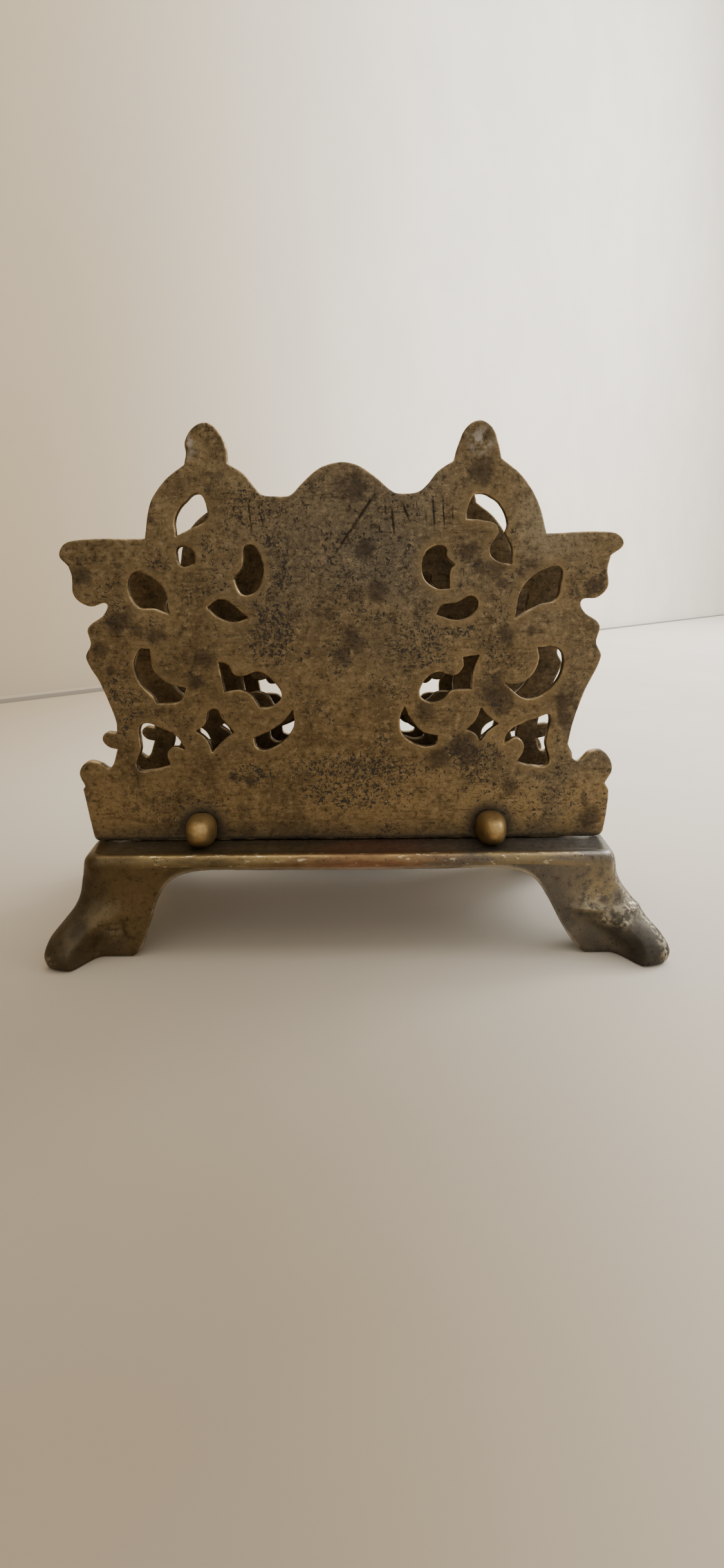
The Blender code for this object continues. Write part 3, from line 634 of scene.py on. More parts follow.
def smooth_path(points, closed, step):
    """A curve through the points at about even steps. Corners stay sharp."""
    places = [np.array(point[:2]) for point in points]
    sharp = [len(point) > 2 for point in points]
    count = len(places)
    path = []
    for index in range(count if closed else count - 1):
        start = places[index]
        end = places[(index + 1) % count]
        chord = end - start
        length = np.linalg.norm(chord)
        leaving = chord
        arriving = chord
        if (closed or index > 0) and not sharp[index]:
            leaving = end - places[index - 1]
        if (closed or index < count - 2) and not sharp[(index + 1) % count]:
            arriving = places[(index + 2) % count] - start
        leaving = leaving / np.linalg.norm(leaving) * length
        arriving = arriving / np.linalg.norm(arriving) * length
        steps = max(1, round(length / step))
        for t in np.arange(steps) / steps:
            path.append(
                start * (2 * t**3 - 3 * t**2 + 1)
                + leaving * (t**3 - 2 * t**2 + t)
                + end * (3 * t**2 - 2 * t**3)
                + arriving * (t**3 - t**2)
            )
    if not closed:
        path.append(places[-1])
    return np.array(path)


def other_side(points):
    """Mirror outline points to the -X side and run them the other way."""
    return [(-point[0], *point[1:]) for point in reversed(points)]


def plate_rings(name):
    """A plate's outline and holes at its own size, smooth and slightly uneven from filing."""
    size = PLATES[name]
    waist_minus = EAR_MINUS_X if size["ears"] == 2 else PLAIN_WAIST_MINUS_X
    plus = FOOT_PLUS_X + EAR_PLUS_X + TOP_PLUS_X
    minus = FOOT_MINUS_X + waist_minus + TOP_MINUS_X
    paths = [plus + other_side(minus[1:-1])]
    paths += HOLES_PLUS_X.values()
    paths += [other_side(hole) for hole in HOLES_MINUS_X.values()]
    foot = np.array((middle_of("tie_rod_left", "tie_rod_right").x, box_mm(name)[0].z))
    shrink = np.array((size["wide"], size["tall"]))
    rings = []
    for index, path in enumerate(paths):
        ring = smooth_path(path, True, EDGE_STEP) * shrink + foot
        filed = 0.11 if index else 0.05
        rough = filed * wobble([(x, 5.0 * index, z) for x, z in ring], 2.6)
        rough += 0.5 * filed * wobble([(x, 5.0 * index, z) for x, z in ring], 1.1)
        rings.append(ring + ring_normals(ring) * rough[:, None])
    for rod in ("tie_rod_left", "tie_rod_right"):
        rings.append(bore(middle_of(rod).xz, ROD_HOLE_RADIUS, 28))
    return rings


def bore(middle, radius, steps):
    """A round hole's outline."""
    turns = 2 * math.pi * np.arange(steps) / steps
    return radius * np.stack([np.cos(turns), np.sin(turns)], axis=1) + np.array(middle)


def ring_normals(ring):
    """Unit normals that point to the left of travel at each point of a closed ring."""
    run = np.roll(ring, -1, axis=0) - np.roll(ring, 1, axis=0)
    run /= np.linalg.norm(run, axis=1)[:, None]
    return np.stack([-run[:, 1], run[:, 0]], axis=1)


def inside(points, rings):
    """Whether each point is in the outline and not in a hole."""
    x, z = points.T
    odd = np.zeros(len(points), bool)
    for ring in rings:
        for (ax, az), (bx, bz) in zip(ring, np.roll(ring, -1, axis=0)):
            if az != bz:
                odd ^= ((az > z) != (bz > z)) & (x < ax + (z - az) * (bx - ax) / (bz - az))
    return odd


class EdgeDistance:
    """Distance from points to the nearest ring, and which ring that is."""

    def __init__(self, rings):
        self.points = np.concatenate(rings)
        self.ring_of = np.concatenate([np.full(len(ring), index) for index, ring in enumerate(rings)])
        spans = np.split(np.arange(len(self.points)), np.cumsum([len(ring) for ring in rings])[:-1])
        self.after = np.concatenate([np.roll(span, -1) for span in spans])
        self.before = np.concatenate([np.roll(span, 1) for span in spans])
        self.tree = KDTree(len(self.points))
        for index, (x, z) in enumerate(self.points):
            self.tree.insert((x, z, 0.0), index)
        self.tree.balance()

    def measure(self, points):
        """Distances to the nearest of the two segments at the nearest ring point."""
        nearest = np.array([self.tree.find((x, z, 0.0))[1] for x, z in points])
        best = np.full(len(points), 1e9)
        for other in (self.after[nearest], self.before[nearest]):
            a = self.points[nearest]
            run = self.points[other] - a
            share = np.sum((points - a) * run, axis=1) / np.sum(run * run, axis=1)
            foot = a + run * np.clip(share, 0.0, 1.0)[:, None]
            best = np.minimum(best, np.linalg.norm(points - foot, axis=1))
        return best, self.ring_of[nearest]


def thinned(points, spacing):
    """Drop points that share a small cell with an earlier one."""
    kept = {}
    for point in points:
        kept.setdefault((int(point[0] // spacing), int(point[1] // spacing)), point)
    return list(kept.values())


def fill_plan(rings, grid, edge_rings):
    """Triangles over an outline with holes, close together at the edges.

    The last result says which ring point each point is, or a larger number for the other points.
    """
    edges_of = EdgeDistance(rings)
    extra = []
    for offset in edge_rings:
        ring_points = []
        for ring in rings:
            normals = ring_normals(ring)
            for side in (1.0, -1.0):
                ring_points.extend(ring + normals * side * offset)
        ring_points = np.array(thinned(ring_points, 0.6))
        distance, _ = edges_of.measure(ring_points)
        extra.append(ring_points[distance > 0.9 * offset])
    low = rings[0].min(axis=0)
    high = rings[0].max(axis=0)
    rows = []
    row_step = grid * math.sqrt(3.0) / 2
    for row in range(int((high[1] - low[1]) / row_step)):
        shift = 0.5 * grid * (row % 2)
        xs = np.arange(low[0] + shift, high[0], grid)
        rows.append(np.stack([xs, np.full(len(xs), low[1] + row * row_step)], axis=1))
    field = np.concatenate(rows)
    distance, _ = edges_of.measure(field)
    limit = (edge_rings[-1] if len(edge_rings) else 0.0) + 0.45 * grid
    extra.append(field[distance > limit])
    extra = np.concatenate(extra)
    extra = extra[inside(extra, rings)]
    points = [Vector(p) for p in np.concatenate(rings + [extra])]
    constraints = []
    start = 0
    for ring in rings:
        constraints += [(start + i, start + (i + 1) % len(ring)) for i in range(len(ring))]
        start += len(ring)
    flat, _, triangles, origins, _, _ = delaunay_2d_cdt(points, constraints, [], 0, 1e-5)
    flat = np.array([tuple(p) for p in flat])
    origins = np.array([origin[0] for origin in origins])
    triangles = np.array(triangles)
    centres = flat[triangles].mean(axis=1)
    triangles = triangles[inside(centres, rings)]
    used, triangles = np.unique(triangles, return_inverse=True)
    return flat[used], triangles.reshape(-1, 3), origins[used]


def boundary_pairs(triangles):
    """The directed edges that only one triangle has."""
    pairs = dict.fromkeys(pair for a, b, c in triangles for pair in ((a, b), (b, c), (c, a)))
    return [pair for pair in pairs if pair[::-1] not in pairs]


def scroll(x, z, centre, radius, way):
    """A carved volute with a round eye."""
    dx = x - centre[0]
    dz = z - centre[1]
    away = np.hypot(dx, dz)
    turn = np.arctan2(dz, dx) * way
    groove = np.cos(turn + away * 2 * math.pi / (0.52 * radius))
    body = 0.34 * groove * smoothstep((radius - away) / (0.35 * radius))
    return body * smoothstep(away / (0.35 * radius)) + 0.7 * bell(away / (0.26 * radius))


def wave(distance, pitch):
    """An even ripple, 1 at the start of each pitch."""
    return np.cos(distance * 2 * math.pi / pitch)


def relief(x, z, edge):
    """How far the carved front stands out, for points on the full-size pattern."""
    side = np.abs(x)
    height = -0.55 + 0.95 * bell((edge - 1.6) / 0.95)
    # Strapwork swells between the piercings, with a line that follows each edge.
    straps = smoothstep((side - 20.0) / 8.0) * smoothstep((z - 22.0) / 5.0)
    height += straps * (0.75 * smoothstep(edge / 4.2) + 0.16 * wave(edge, 2.7) * bell(edge / 5.5))
    # A blank oval cartouche in the middle, ringed with leaves.
    out = np.hypot(x / 13.0, (z - 60.0) / 19.0)
    turn = np.arctan2((z - 60.0) / 19.0, x / 13.0)
    height += 0.95 * bell((out - 1.0) / 0.085) + 0.5 * np.clip(1.0 - out**2, 0.0, 1.0)
    leaf = np.abs(np.cos(turn * 8.0))
    tip = 1.30 + 0.32 * leaf
    height += 0.75 * leaf**0.6 * smoothstep((out - 1.08) / 0.08) * smoothstep((tip - out) / 0.10)
    # A shell in the dome.
    away = np.hypot(x, z - 98.0)
    fan = np.arctan2(x, z - 98.0)
    shell = smoothstep((away - 4.5) / 1.5) * smoothstep((21.5 - away) / 2.0)
    shell *= smoothstep((1.25 - np.abs(fan)) / 0.15)
    height += shell * (0.40 + 0.42 * np.cos(fan * 12.0)) + 0.9 * bell(away / 3.2)
    # Mouldings round each arch and a bud on each finial.
    arch = np.hypot(side - 42.0, z - 102.0)
    height += 0.36 * wave(arch - 19.4, 3.6) * bell((arch - 17.5) / 3.2) * smoothstep((z - 98.0) / 4.0)
    height += 0.8 * bell(np.hypot(side - 42.0, (z - 128.0) / 1.4) / 2.6)
    # Volutes on the feet, the shoulders, the waist and beside the cartouche, as (centre, radius, way).
    volutes = [((84.6, 23.8), 7.2, 1.0), ((81.0, 87.2), 6.2, -1.0)]
    volutes += [((78.4, 66.0), 5.8, 1.0), ((24.0, 24.6), 5.6, 1.0)]
    for volute in volutes:
        height += scroll(side, z, *volute)
    # A reeded shelf edge, and a row of beads between two reeds along the foot.
    height += 0.45 * smoothstep((side - 62.0) / 3.0) * bell((z - 98.0) / 2.2)
    beads = np.hypot((x - 5.0 * np.round(x / 5.0)), z - 14.5)
    height += 0.75 * bell(beads / 1.5) * smoothstep((80.0 - side) / 3.0)
    return height + 0.55 * bell((z - 10.4) / 0.75) + 0.55 * bell((z - 18.6) / 0.75)


def make_plate(name, material):
    """A pierced plate with filed edges, a plain back and a carved front."""
    low, high = box_mm(name)
    size = PLATES[name]
    half = PLATE_THICKNESS / 2
    plain_level = high.y if size["lug_side"] < 0 else low.y
    middle_y = plain_level + size["lug_side"] * half
    centre_x = middle_of("tie_rod_left", "tie_rod_right").x
    rings = plate_rings(name)
    flat, triangles, _ = fill_plan(rings, size["grid"], EDGE_RINGS)
    edge, ring_of = EdgeDistance(rings).measure(flat)
    rounding = np.where(ring_of == 0, OUTLINE_ROUNDING, HOLE_ROUNDING)
    part = np.clip(edge / rounding, 0.0, 1.0)
    roll = rounding * (1.0 - np.sqrt(np.clip(1.0 - (1.0 - part) ** 2, 0.0, 1.0)))
    # The plain back: slightly uneven, with dents on the back plate's finials.
    uneven = 0.10 * wobble([(x, 7.0, z) for x, z in flat], 26.0)
    uneven += 0.03 * wobble([(x, 3.0, z) for x, z in flat], 7.0)
    back = half - roll + uneven * smoothstep(edge / 2.0)
    # The carved front, on the pattern's own scale.
    pattern_x = (flat[:, 0] - centre_x) / size["wide"]
    pattern_z = (flat[:, 1] - low.z) / size["tall"]
    carved = relief(pattern_x, pattern_z, edge)
    front = -(half + carved * smoothstep(edge / 0.8)) + roll
    count = len(flat)
    nothing = np.zeros(count)
    stained = nothing
    pitted = nothing
    if name == "back_plate":
        back += finial_dents(flat, centre_x, high.z)
        stained = strongest_spot(flat[:, 0], flat[:, 1], [(*stain, 1.0) for stain in STAINS])
        pitted = pits_at(flat)
    depth = middle_y + np.concatenate([back, front])
    verts = np.stack([np.tile(flat[:, 0], 2), depth, np.tile(flat[:, 1], 2)], axis=1)
    a, b, c = flat[triangles[:, 0]], flat[triangles[:, 1]], flat[triangles[:, 2]]
    turn = np.cross(b - a, c - a)
    triangles = np.where(turn[:, None] > 0, triangles[:, ::-1], triangles)
    faces = [tuple(t) for t in triangles]
    rim = [(b, a, a + count, b + count) for a, b in boundary_pairs(faces)]
    faces += [tuple(t[::-1] + count) for t in triangles] + rim
    ridge = np.concatenate([nothing, 0.6 * smoothstep((carved - 0.35) / 0.5)])
    pierced = (ring_of > 0) & (ring_of <= len(rings) - 3)
    masks = {
        "edge": np.maximum(np.tile(bell(edge / 0.40), 2), ridge),
        "hollow": np.concatenate([nothing, smoothstep((-0.1 - carved) / 0.5)]),
        "band": np.tile(pierced * smoothstep(1.25 - edge / 2.8), 2),
        "stain": np.concatenate([stained, nothing]),
        "pitted": np.concatenate([pitted, nothing]),
    }
    make_piece(name + "_cast", verts, faces, material, name, masks)
    make_lugs(name, middle_y, size["lug_side"], material)


def strongest_spot(x, z, spots):
    """The strongest at each place of several soft round spots, as (x, z, radius, amount)."""
    levels = [amount * bell(np.hypot(x - sx, z - sz) / radius) for sx, sz, radius, amount in spots]
    return np.max(levels, axis=0)


def pits_at(flat):
    """How thickly each point of the back plate's rear face is pitted."""
    pitted = np.zeros(len(flat))
    for x, z, half_width, half_height, amount in PITTED:
        away = np.hypot((flat[:, 0] - x) / half_width, (flat[:, 1] - z) / half_height)
        pitted = np.maximum(pitted, amount * smoothstep(1.5 - away))
    return pitted


def finial_dents(flat, middle, top):
    """Shallow dents near the top of the two finials, as (x, below the top, radius, depth)."""
    dents = [(44.0, 5.5, 2.2, -0.45), (41.0, 3.2, 1.5, -0.30)]
    dents += [(46.5, 9.0, 1.8, -0.25), (-44.0, 4.5, 2.6, -0.25)]
    depth = np.zeros(len(flat))
    for x, below, radius, amount in dents:
        away = np.hypot(flat[:, 0] - middle - x, flat[:, 1] - top + below)
        depth += amount * (bell(away / radius) - 0.5 * bell((away - 1.6 * radius) / (0.5 * radius)))
    return depth


def make_lugs(plate, middle_y, side, material):
    """The two half-round lugs on a plate's face that its screws bite into."""
    steps = 28
    levels = [(0.0, 0.25), (0.3, 0.0), (LUG_HEIGHT - 1.1, 0.0), (LUG_HEIGHT - 0.4, 0.25)]
    levels += [(LUG_HEIGHT, 0.9)]
    foot = box_mm(plate)[0].z
    centre_y = middle_y + side * LUG_OFFSET
    face_y = middle_y + side * LUG_ROOT
    swing = math.acos((face_y - centre_y) * side / LUG_RADIUS)
    for hand in ("left", "right"):
        x = middle_of("plate_screw_" + plate.replace("_plate", "") + "_" + hand).x
        verts = []
        for level, inset in levels:
            for step in range(steps + 1):
                turn = -swing + 2 * swing * step / steps
                radius = LUG_RADIUS - inset
                y = centre_y + side * radius * math.cos(turn)
                y = max(y * side, face_y * side) * side
                verts.append((x + radius * math.sin(turn), y, foot + level))
        ring = steps + 1
        faces = []
        for row in range(len(levels) - 1):
            for step in range(ring):
                corners = (row * ring + step, row * ring + (step + 1) % ring)
                faces.append(corners + tuple(corner + ring for corner in corners[::-1]))
        faces.append(tuple(reversed(range(ring))))
        faces.append(tuple(range(len(verts) - ring, len(verts))))
        if side > 0:
            faces = [face[::-1] for face in faces]
        make_piece(plate + "_lug_" + hand, verts, faces, material)


# ------------------------------------------------------------------------------------------- base


def end_bow(y):
    """How far the deck's ends bow outwards at a place along them."""
    return END_BOW * (1.0 - (y / DECK_HALF_Y) ** 2)


def toe_share(away, width):
    """How far a point of the apron follows the toe, by its distance from the corner."""
    return float(smoothstep(1.0 - max(away - DECK_CORNER_RADIUS, 0.0) / width))


def leg_ease(side_x, level):
    """The +X legs stand a little wider above the bend at mid height, and tuck in below it."""
    if side_x < 0.0:
        return 0.0
    return 1.7 * float(smoothstep((level - 19.0) / 9.0)) - 0.5 * float(bell((level - 17.0) / 2.5))


class Casting:
    """The base's surface as a function of the place along its edge, the height and the inset."""

    def __init__(self):
        self.height = box_mm("base")[1].z
        self.reach = {1.0: TOE_REACH_PLUS_X, -1.0: TOE_REACH_MINUS_X}
        self.arches = {
            1.0: smooth_path(LONG_ARCH_PLUS_X, False, 0.5),
            -1.0: smooth_path(LONG_ARCH_MINUS_X, False, 0.5),
        }
        self.end_arch = smooth_path(END_ARCH_HALF, False, 0.5)

    def point(self, station, level, inset):
        """The plan place of a station at a height, drawn in by an inset."""
        kind, value, side_x, side_y = station
        drop = self.height - level
        flare = END_FLARE * (1.0 - (min(level, self.height) / self.height) ** 2)
        sideways = smoothstep((drop - TOE_START) / (TOE_END - TOE_START))
        forward = smoothstep((drop - TOE_FORWARD_START) / (TOE_END - TOE_FORWARD_START))
        tuck = max(1.0 - level / 5.0, 0.0) ** 2
        toe_x = self.reach[side_x] * float(sideways) - 0.8 * tuck
        toe_y = TOE_REACH_Y * float(forward) - 0.8 * tuck
        toe_x += float(smoothstep((14.0 - level) / 5.0)) + leg_ease(side_x, level)
        width = TOE_WIDTH + 7.0 * float(smoothstep((level - 3.0) / 16.0))
        radius = max(DECK_CORNER_RADIUS - inset, 0.3)
        if kind == "long":
            x = DECK_HALF_X - value + toe_x * toe_share(value, TOE_SLIDE)
            y = DECK_HALF_Y - inset + toe_y * toe_share(value, width)
        elif kind == "corner":
            x = DECK_HALF_X - DECK_CORNER_RADIUS + (radius + flare) * math.cos(value) + toe_x
            y = DECK_HALF_Y - DECK_CORNER_RADIUS + radius * math.sin(value)
            x += end_bow(y)
            y += toe_y
        else:
            x = DECK_HALF_X - inset + flare + toe_x * toe_share(value, width)
            x += leg_ease(side_x, level) * (1.0 - toe_share(value, width))
            y = DECK_HALF_Y - value
            x += end_bow(y)
            y += toe_y * toe_share(value, TOE_SLIDE)
        return np.array((side_x * x + BASE_X, side_y * y))

    def floor_of(self, station):
        """The lowest height of the wall at a station: the arch's edge, or the table."""
        kind, _, side_x, _ = station
        if kind == "corner":
            return 0.0
        arch = self.arches[side_x] if kind == "long" else self.end_arch
        for level in np.arange(self.height - 2.0, -0.001, -0.1):
            x, y = self.point(station, level, 0.0)
            along = abs(x - BASE_X) if kind == "long" else abs(y)
            edge = np.interp(along, arch[:, 0], arch[:, 1], right=-1.0)
            if edge >= level:
                return float(max(level, 0.0))
        return 0.0

    def stations(self):
        """Places round the whole edge, close together where the shape turns."""
        step = 0.75
        leg_end = 46.0
        legs = np.arange(DECK_CORNER_RADIUS + 0.4, leg_end, step)
        apron = np.arange(leg_end, DECK_HALF_X, 1.6)
        long_side = np.concatenate([legs, apron, [DECK_HALF_X]])[::-1]
        end = np.arange(DECK_CORNER_RADIUS + 0.4, DECK_HALF_Y, step)
        turns = np.radians(np.arange(90.0, -0.1, -7.5))
        quarter = [("long", value) for value in long_side]
        quarter += [("corner", value) for value in turns]
        quarter += [("end", value) for value in [*end, DECK_HALF_Y]]
        quarters = [(1.0, 1.0, quarter), (1.0, -1.0, quarter[-2::-1])]
        quarters += [(-1.0, -1.0, quarter[1:]), (-1.0, 1.0, quarter[-2:0:-1])]
        return [(*place, side_x, side_y) for side_x, side_y, part in quarters for place in part]


# The section of the rolled edge, as (height above the deck, inset) from the ledge outwards.
LEDGE = [
    (-0.05, 5.6), (0.06, 5.0), (0.20, 4.3), (0.31, 3.7), (0.36, 3.1), (0.33, 2.55), (0.21, 2.02),
    (-0.02, 1.52), (-0.34, 1.08), (-0.76, 0.70), (-1.28, 0.38), (-1.90, 0.16), (-2.60, 0.04),
    (-3.3, 0.0),
]


def casting_section(casting, station):
    """The wall's section at a station, from the ledge down the outside and up the inside.

    It is a list of (height, inset, 1 on the outer face), with the wall's lowest height.
    """
    top = casting.height
    low = casting.floor_of(station)
    section = [(top + rise, inset, 0.0) for rise, inset in LEDGE]
    for level in np.linspace(section[-1][0], low + 1.0, OUTER_STEPS + 1)[1:]:
        section.append((level, 0.0, 1.0))
    rim = [(0.45, 0.14), (0.12, 0.5), (0.0, 1.0), (0.0, 1.9), (0.14, 2.5), (0.6, 2.9)]
    section += [(low + rise, inset, 0.0) for rise, inset in rim]
    start = low + 0.9
    for level in np.linspace(start, max(top - WALL - 0.7, start), INNER_STEPS + 1):
        section.append((level, WALL, 0.0))
    section.append((top - WALL - 0.2, WALL + 0.5, 0.0))
    section.append((top - WALL, WALL + 1.4, 0.0))
    return section, low


def rear_share(y):
    """1 on the outside of the rear apron and feet, 0 further in."""
    return smoothstep((y - 38.0) / 4.0)


def foot_marks(x, y, z):
    """Dents and swellings on the outside of the rear feet, positive outwards."""
    rear = rear_share(y)
    crease = 0.75 * bell((z - 17.0) / 1.1) - 0.55 * bell((z - 10.8) / 3.2) + 0.30 * bell((z - 20.5) / 2.0)
    marks = smoothstep((-66.0 - x) / 6.0) * rear * crease
    for spot_x, spot_z in ((-84.0, 13.6), (-89.5, 13.9), (-92.5, 17.0)):
        marks += 0.70 * rear * bell(np.hypot(x - spot_x, z - spot_z) / 1.8)
    hollow = np.hypot(x - 93.0, (z - 11.5) * 0.9)
    marks += rear * (-0.60 * bell(hollow / 3.0) + 0.35 * bell((hollow - 4.4) / 0.9))
    return marks - 0.25 * rear * bell(np.hypot(x - 80.0, z - 9.0) / 4.0)


def make_base(material):
    """The base casting: deck, rolled edge, aprons, arches and four splayed feet."""
    casting = Casting()
    stations = casting.stations()
    verts = []
    outside = []
    edge = []
    rim_highlights = []
    for station in stations:
        section, low = casting_section(casting, station)
        for row, (level, inset, outer) in enumerate(section):
            verts.append((*casting.point(station, level, inset), level))
            outside.append(outer)
            on_ledge = row < len(LEDGE)
            edge.append(bell((inset - 1.2) / 1.5) if on_ledge else 0.0)
            # The arch rims get a painted highlight, kept in the rim mask.
            on_rim = not on_ledge and inset < 2.6 and low > 1.0
            rim_highlights.append(bell((level - low) / 1.1) if on_rim else 0.0)
    verts = np.array(verts)
    rows = len(section)
    around = len(stations)
    grid = np.arange(around * rows).reshape(around, rows)
    # Push the outside in and out: casting waviness and the marks on the feet.
    normal = verts.reshape(around, rows, 3)[:, :, :2]
    normal = normal - casting_core(normal)
    normal /= np.maximum(np.linalg.norm(normal, axis=2, keepdims=True), 1e-6)
    push = foot_marks(verts[:, 0], verts[:, 1], verts[:, 2]) + 0.16 * wobble(verts, 17.0, 3.0)
    push *= np.array(outside) * smoothstep((casting.height - 2.0 - verts[:, 2]) / 2.0)
    verts[:, :2] += normal.reshape(-1, 2) * push[:, None]
    faces = []
    for here, after in zip(grid, np.roll(grid, -1, axis=0)):
        faces += [tuple(quad) for quad in np.stack([here[:-1], here[1:], after[1:], after[:-1]], axis=1)]
    verts, faces = deck_faces(verts, faces, grid)
    plain = [0.0] * (len(verts) - len(edge))
    masks = {
        "edge": edge + plain,
        "rim": rim_highlights + plain,
        "channel": deck_darkening(*verts.T, casting.height),
        "polish": foot_highlights(*verts.T, casting.height),
        "shade": foot_shade(*verts.T),
    }
    make_piece("base_cast", verts, faces, material, "base", masks, 40.0)


def casting_core(places):
    """The nearest point of the long middle line, so that a push away from it goes outwards."""
    core = np.zeros_like(places)
    core[:, :, 0] = np.clip(places[:, :, 0], -80.0, 80.0)
    core[:, :, 1] = np.clip(places[:, :, 1], -38.0, 38.0)
    return core


def foot_highlights(x, y, z, top):
    """Painted highlights on the rear feet: the crease, its swellings and the toe ridges."""
    spots = [(-84.0, 13.8, 2.4, 1.0), (-89.5, 14.0, 2.2, 1.0), (-92.5, 17.5, 2.6, 1.0)]
    spots += [(-79.0, 19.5, 3.5, 0.6), (-101.5, 8.5, 1.5, 1.0), (-102.0, 4.0, 1.4, 1.0)]
    spots += [(101.5, 3.5, 1.6, 0.5), (83.0, 10.0, 3.0, 0.4)]
    crease = smoothstep((-74.0 - x) / 5.0) * bell((z - 17.2) / 0.9)
    # The outer corner of the -X leg and the crest of its toe.
    leg_edge = BASE_X - DECK_HALF_X - END_FLARE * (1.0 - (z / top) ** 2)
    leg_edge -= TOE_REACH_MINUS_X * smoothstep((top - z - TOE_START) / (TOE_END - TOE_START))
    corner = bell((x - leg_edge - 0.6) / 0.8) * smoothstep((z - 9.0) / 3.0)
    crest = bell((x + 102.2 + 0.06 * z) / 0.9) * smoothstep((10.0 - z) / 1.5)
    kinds = [strongest_spot(x, z, spots), 0.7 * crease, 0.9 * corner, crest]
    return rear_share(y) * np.max(kinds, axis=0)


def foot_shade(x, y, z):
    """Where the rear feet are dark: the dimple, the hollows beside the toes, below the crease."""
    spots = [(93.0, 12.0, 3.6, 0.9), (96.0, 5.5, 4.0, 0.5), (84.0, 3.0, 6.0, 0.4)]
    spots += [(90.0, 24.0, 7.0, 0.35), (-87.5, 11.5, 3.6, 0.9), (-93.5, 8.0, 5.0, 1.0)]
    spots += [(-95.5, 3.0, 4.0, 0.9), (-80.0, 7.0, 6.0, 0.55), (-98.0, 8.0, 4.0, 0.9)]
    spots += [(-104.5, 4.0, 3.0, 0.9), (-104.0, 9.0, 3.0, 0.7)]
    below_crease = smoothstep((-72.0 - x) / 4.0) * bell((z - 14.6) / 1.1)
    ends = smoothstep((x - BASE_X - DECK_HALF_X - 1.6) / 1.5)
    toe = smoothstep((-89.0 - x) / 4.0) * smoothstep((13.5 - z) / 3.0)
    kinds = [strongest_spot(x, z, spots), 0.75 * below_crease, 0.5 * ends, 0.9 * toe]
    return rear_share(y) * np.max(kinds, axis=0)


def from_edge(x, y):
    """How far a place on the deck is from the deck's edge."""
    ends = DECK_HALF_X + end_bow(y) - np.abs(x - BASE_X)
    return np.minimum(ends, DECK_HALF_Y - np.abs(y))


def deck_darkening(x, y, z, top):
    """The deck darker from the channel beside the rolled edge inwards, with soot along the plates' feet.
    """
    on_deck = smoothstep((z - top + 1.2) / 0.9)
    from_plate = np.abs(np.abs(np.abs(y) - PLATE_PITCH / 2) - PLATE_PITCH / 2)
    joint = bell((from_plate - PLATE_THICKNESS / 2) / 1.3)
    return on_deck * np.maximum(smoothstep((from_edge(x, y) - 3.0) / 3.0) * 0.62, joint)


def deck_faces(verts, faces, grid):
    """Close the deck above and below, with the six screw holes through it."""
    screws = [node for node, _, _ in nodes_named("plate_screw")]
    holes = [bore(middle_of(screw).xy, SCREW_HOLE_RADIUS, BORE_STEPS) for screw in screws]
    verts = [tuple(v) for v in verts]
    deck = box_mm("base")[1].z
    bores = []
    for level, column, below, spacing in ((deck, 0, False, 1.6), (deck - WALL, -1, True, 8.0)):
        ring = np.array([verts[index][:2] for index in grid[:, column]])
        flat, triangles, origins = fill_plan([ring] + holes, spacing, ())
        known = dict(enumerate(int(index) for index in grid[:, column]))
        index_of = []
        for (x, y), origin in zip(flat, origins):
            if origin not in known:
                known[origin] = len(verts)
                verts.append((x, y, level + (0.0 if below else deck_dip(x, y))))
            index_of.append(known[origin])
        bores.append([known[len(ring) + step] for step in range(len(holes) * BORE_STEPS)])
        for a, b, c in triangles:
            up = np.cross(flat[b] - flat[a], flat[c] - flat[a]) > 0
            corners = (a, b, c) if up != below else (a, c, b)
            faces.append(tuple(index_of[i] for i in corners))
    upper, lower = bores
    for step in range(len(upper)):
        after = step + 1 if (step + 1) % BORE_STEPS else step + 1 - BORE_STEPS
        faces.append((upper[step], upper[after], lower[after], lower[step]))
    return np.array(verts), faces


def deck_dip(x, y):
    """The deck is a little hollow beside its rolled edge and flat further in."""
    away = float(from_edge(x, y))
    hollow = -0.34 * float(bell((away - 7.6) / 2.4))
    waves = 0.06 * noise.noise(Vector((x / 14.0, y / 9.0, 0.0)))
    near_screw = min(abs(abs(y) - 24.8), abs(y - 2.2))
    return hollow + waves * float(smoothstep((near_screw - 1.8) / 2.0))


# ------------------------------------------------------------------------------ rods, nuts, screws

THREAD_PITCH = 0.7
THREAD_LENGTH = 7.0


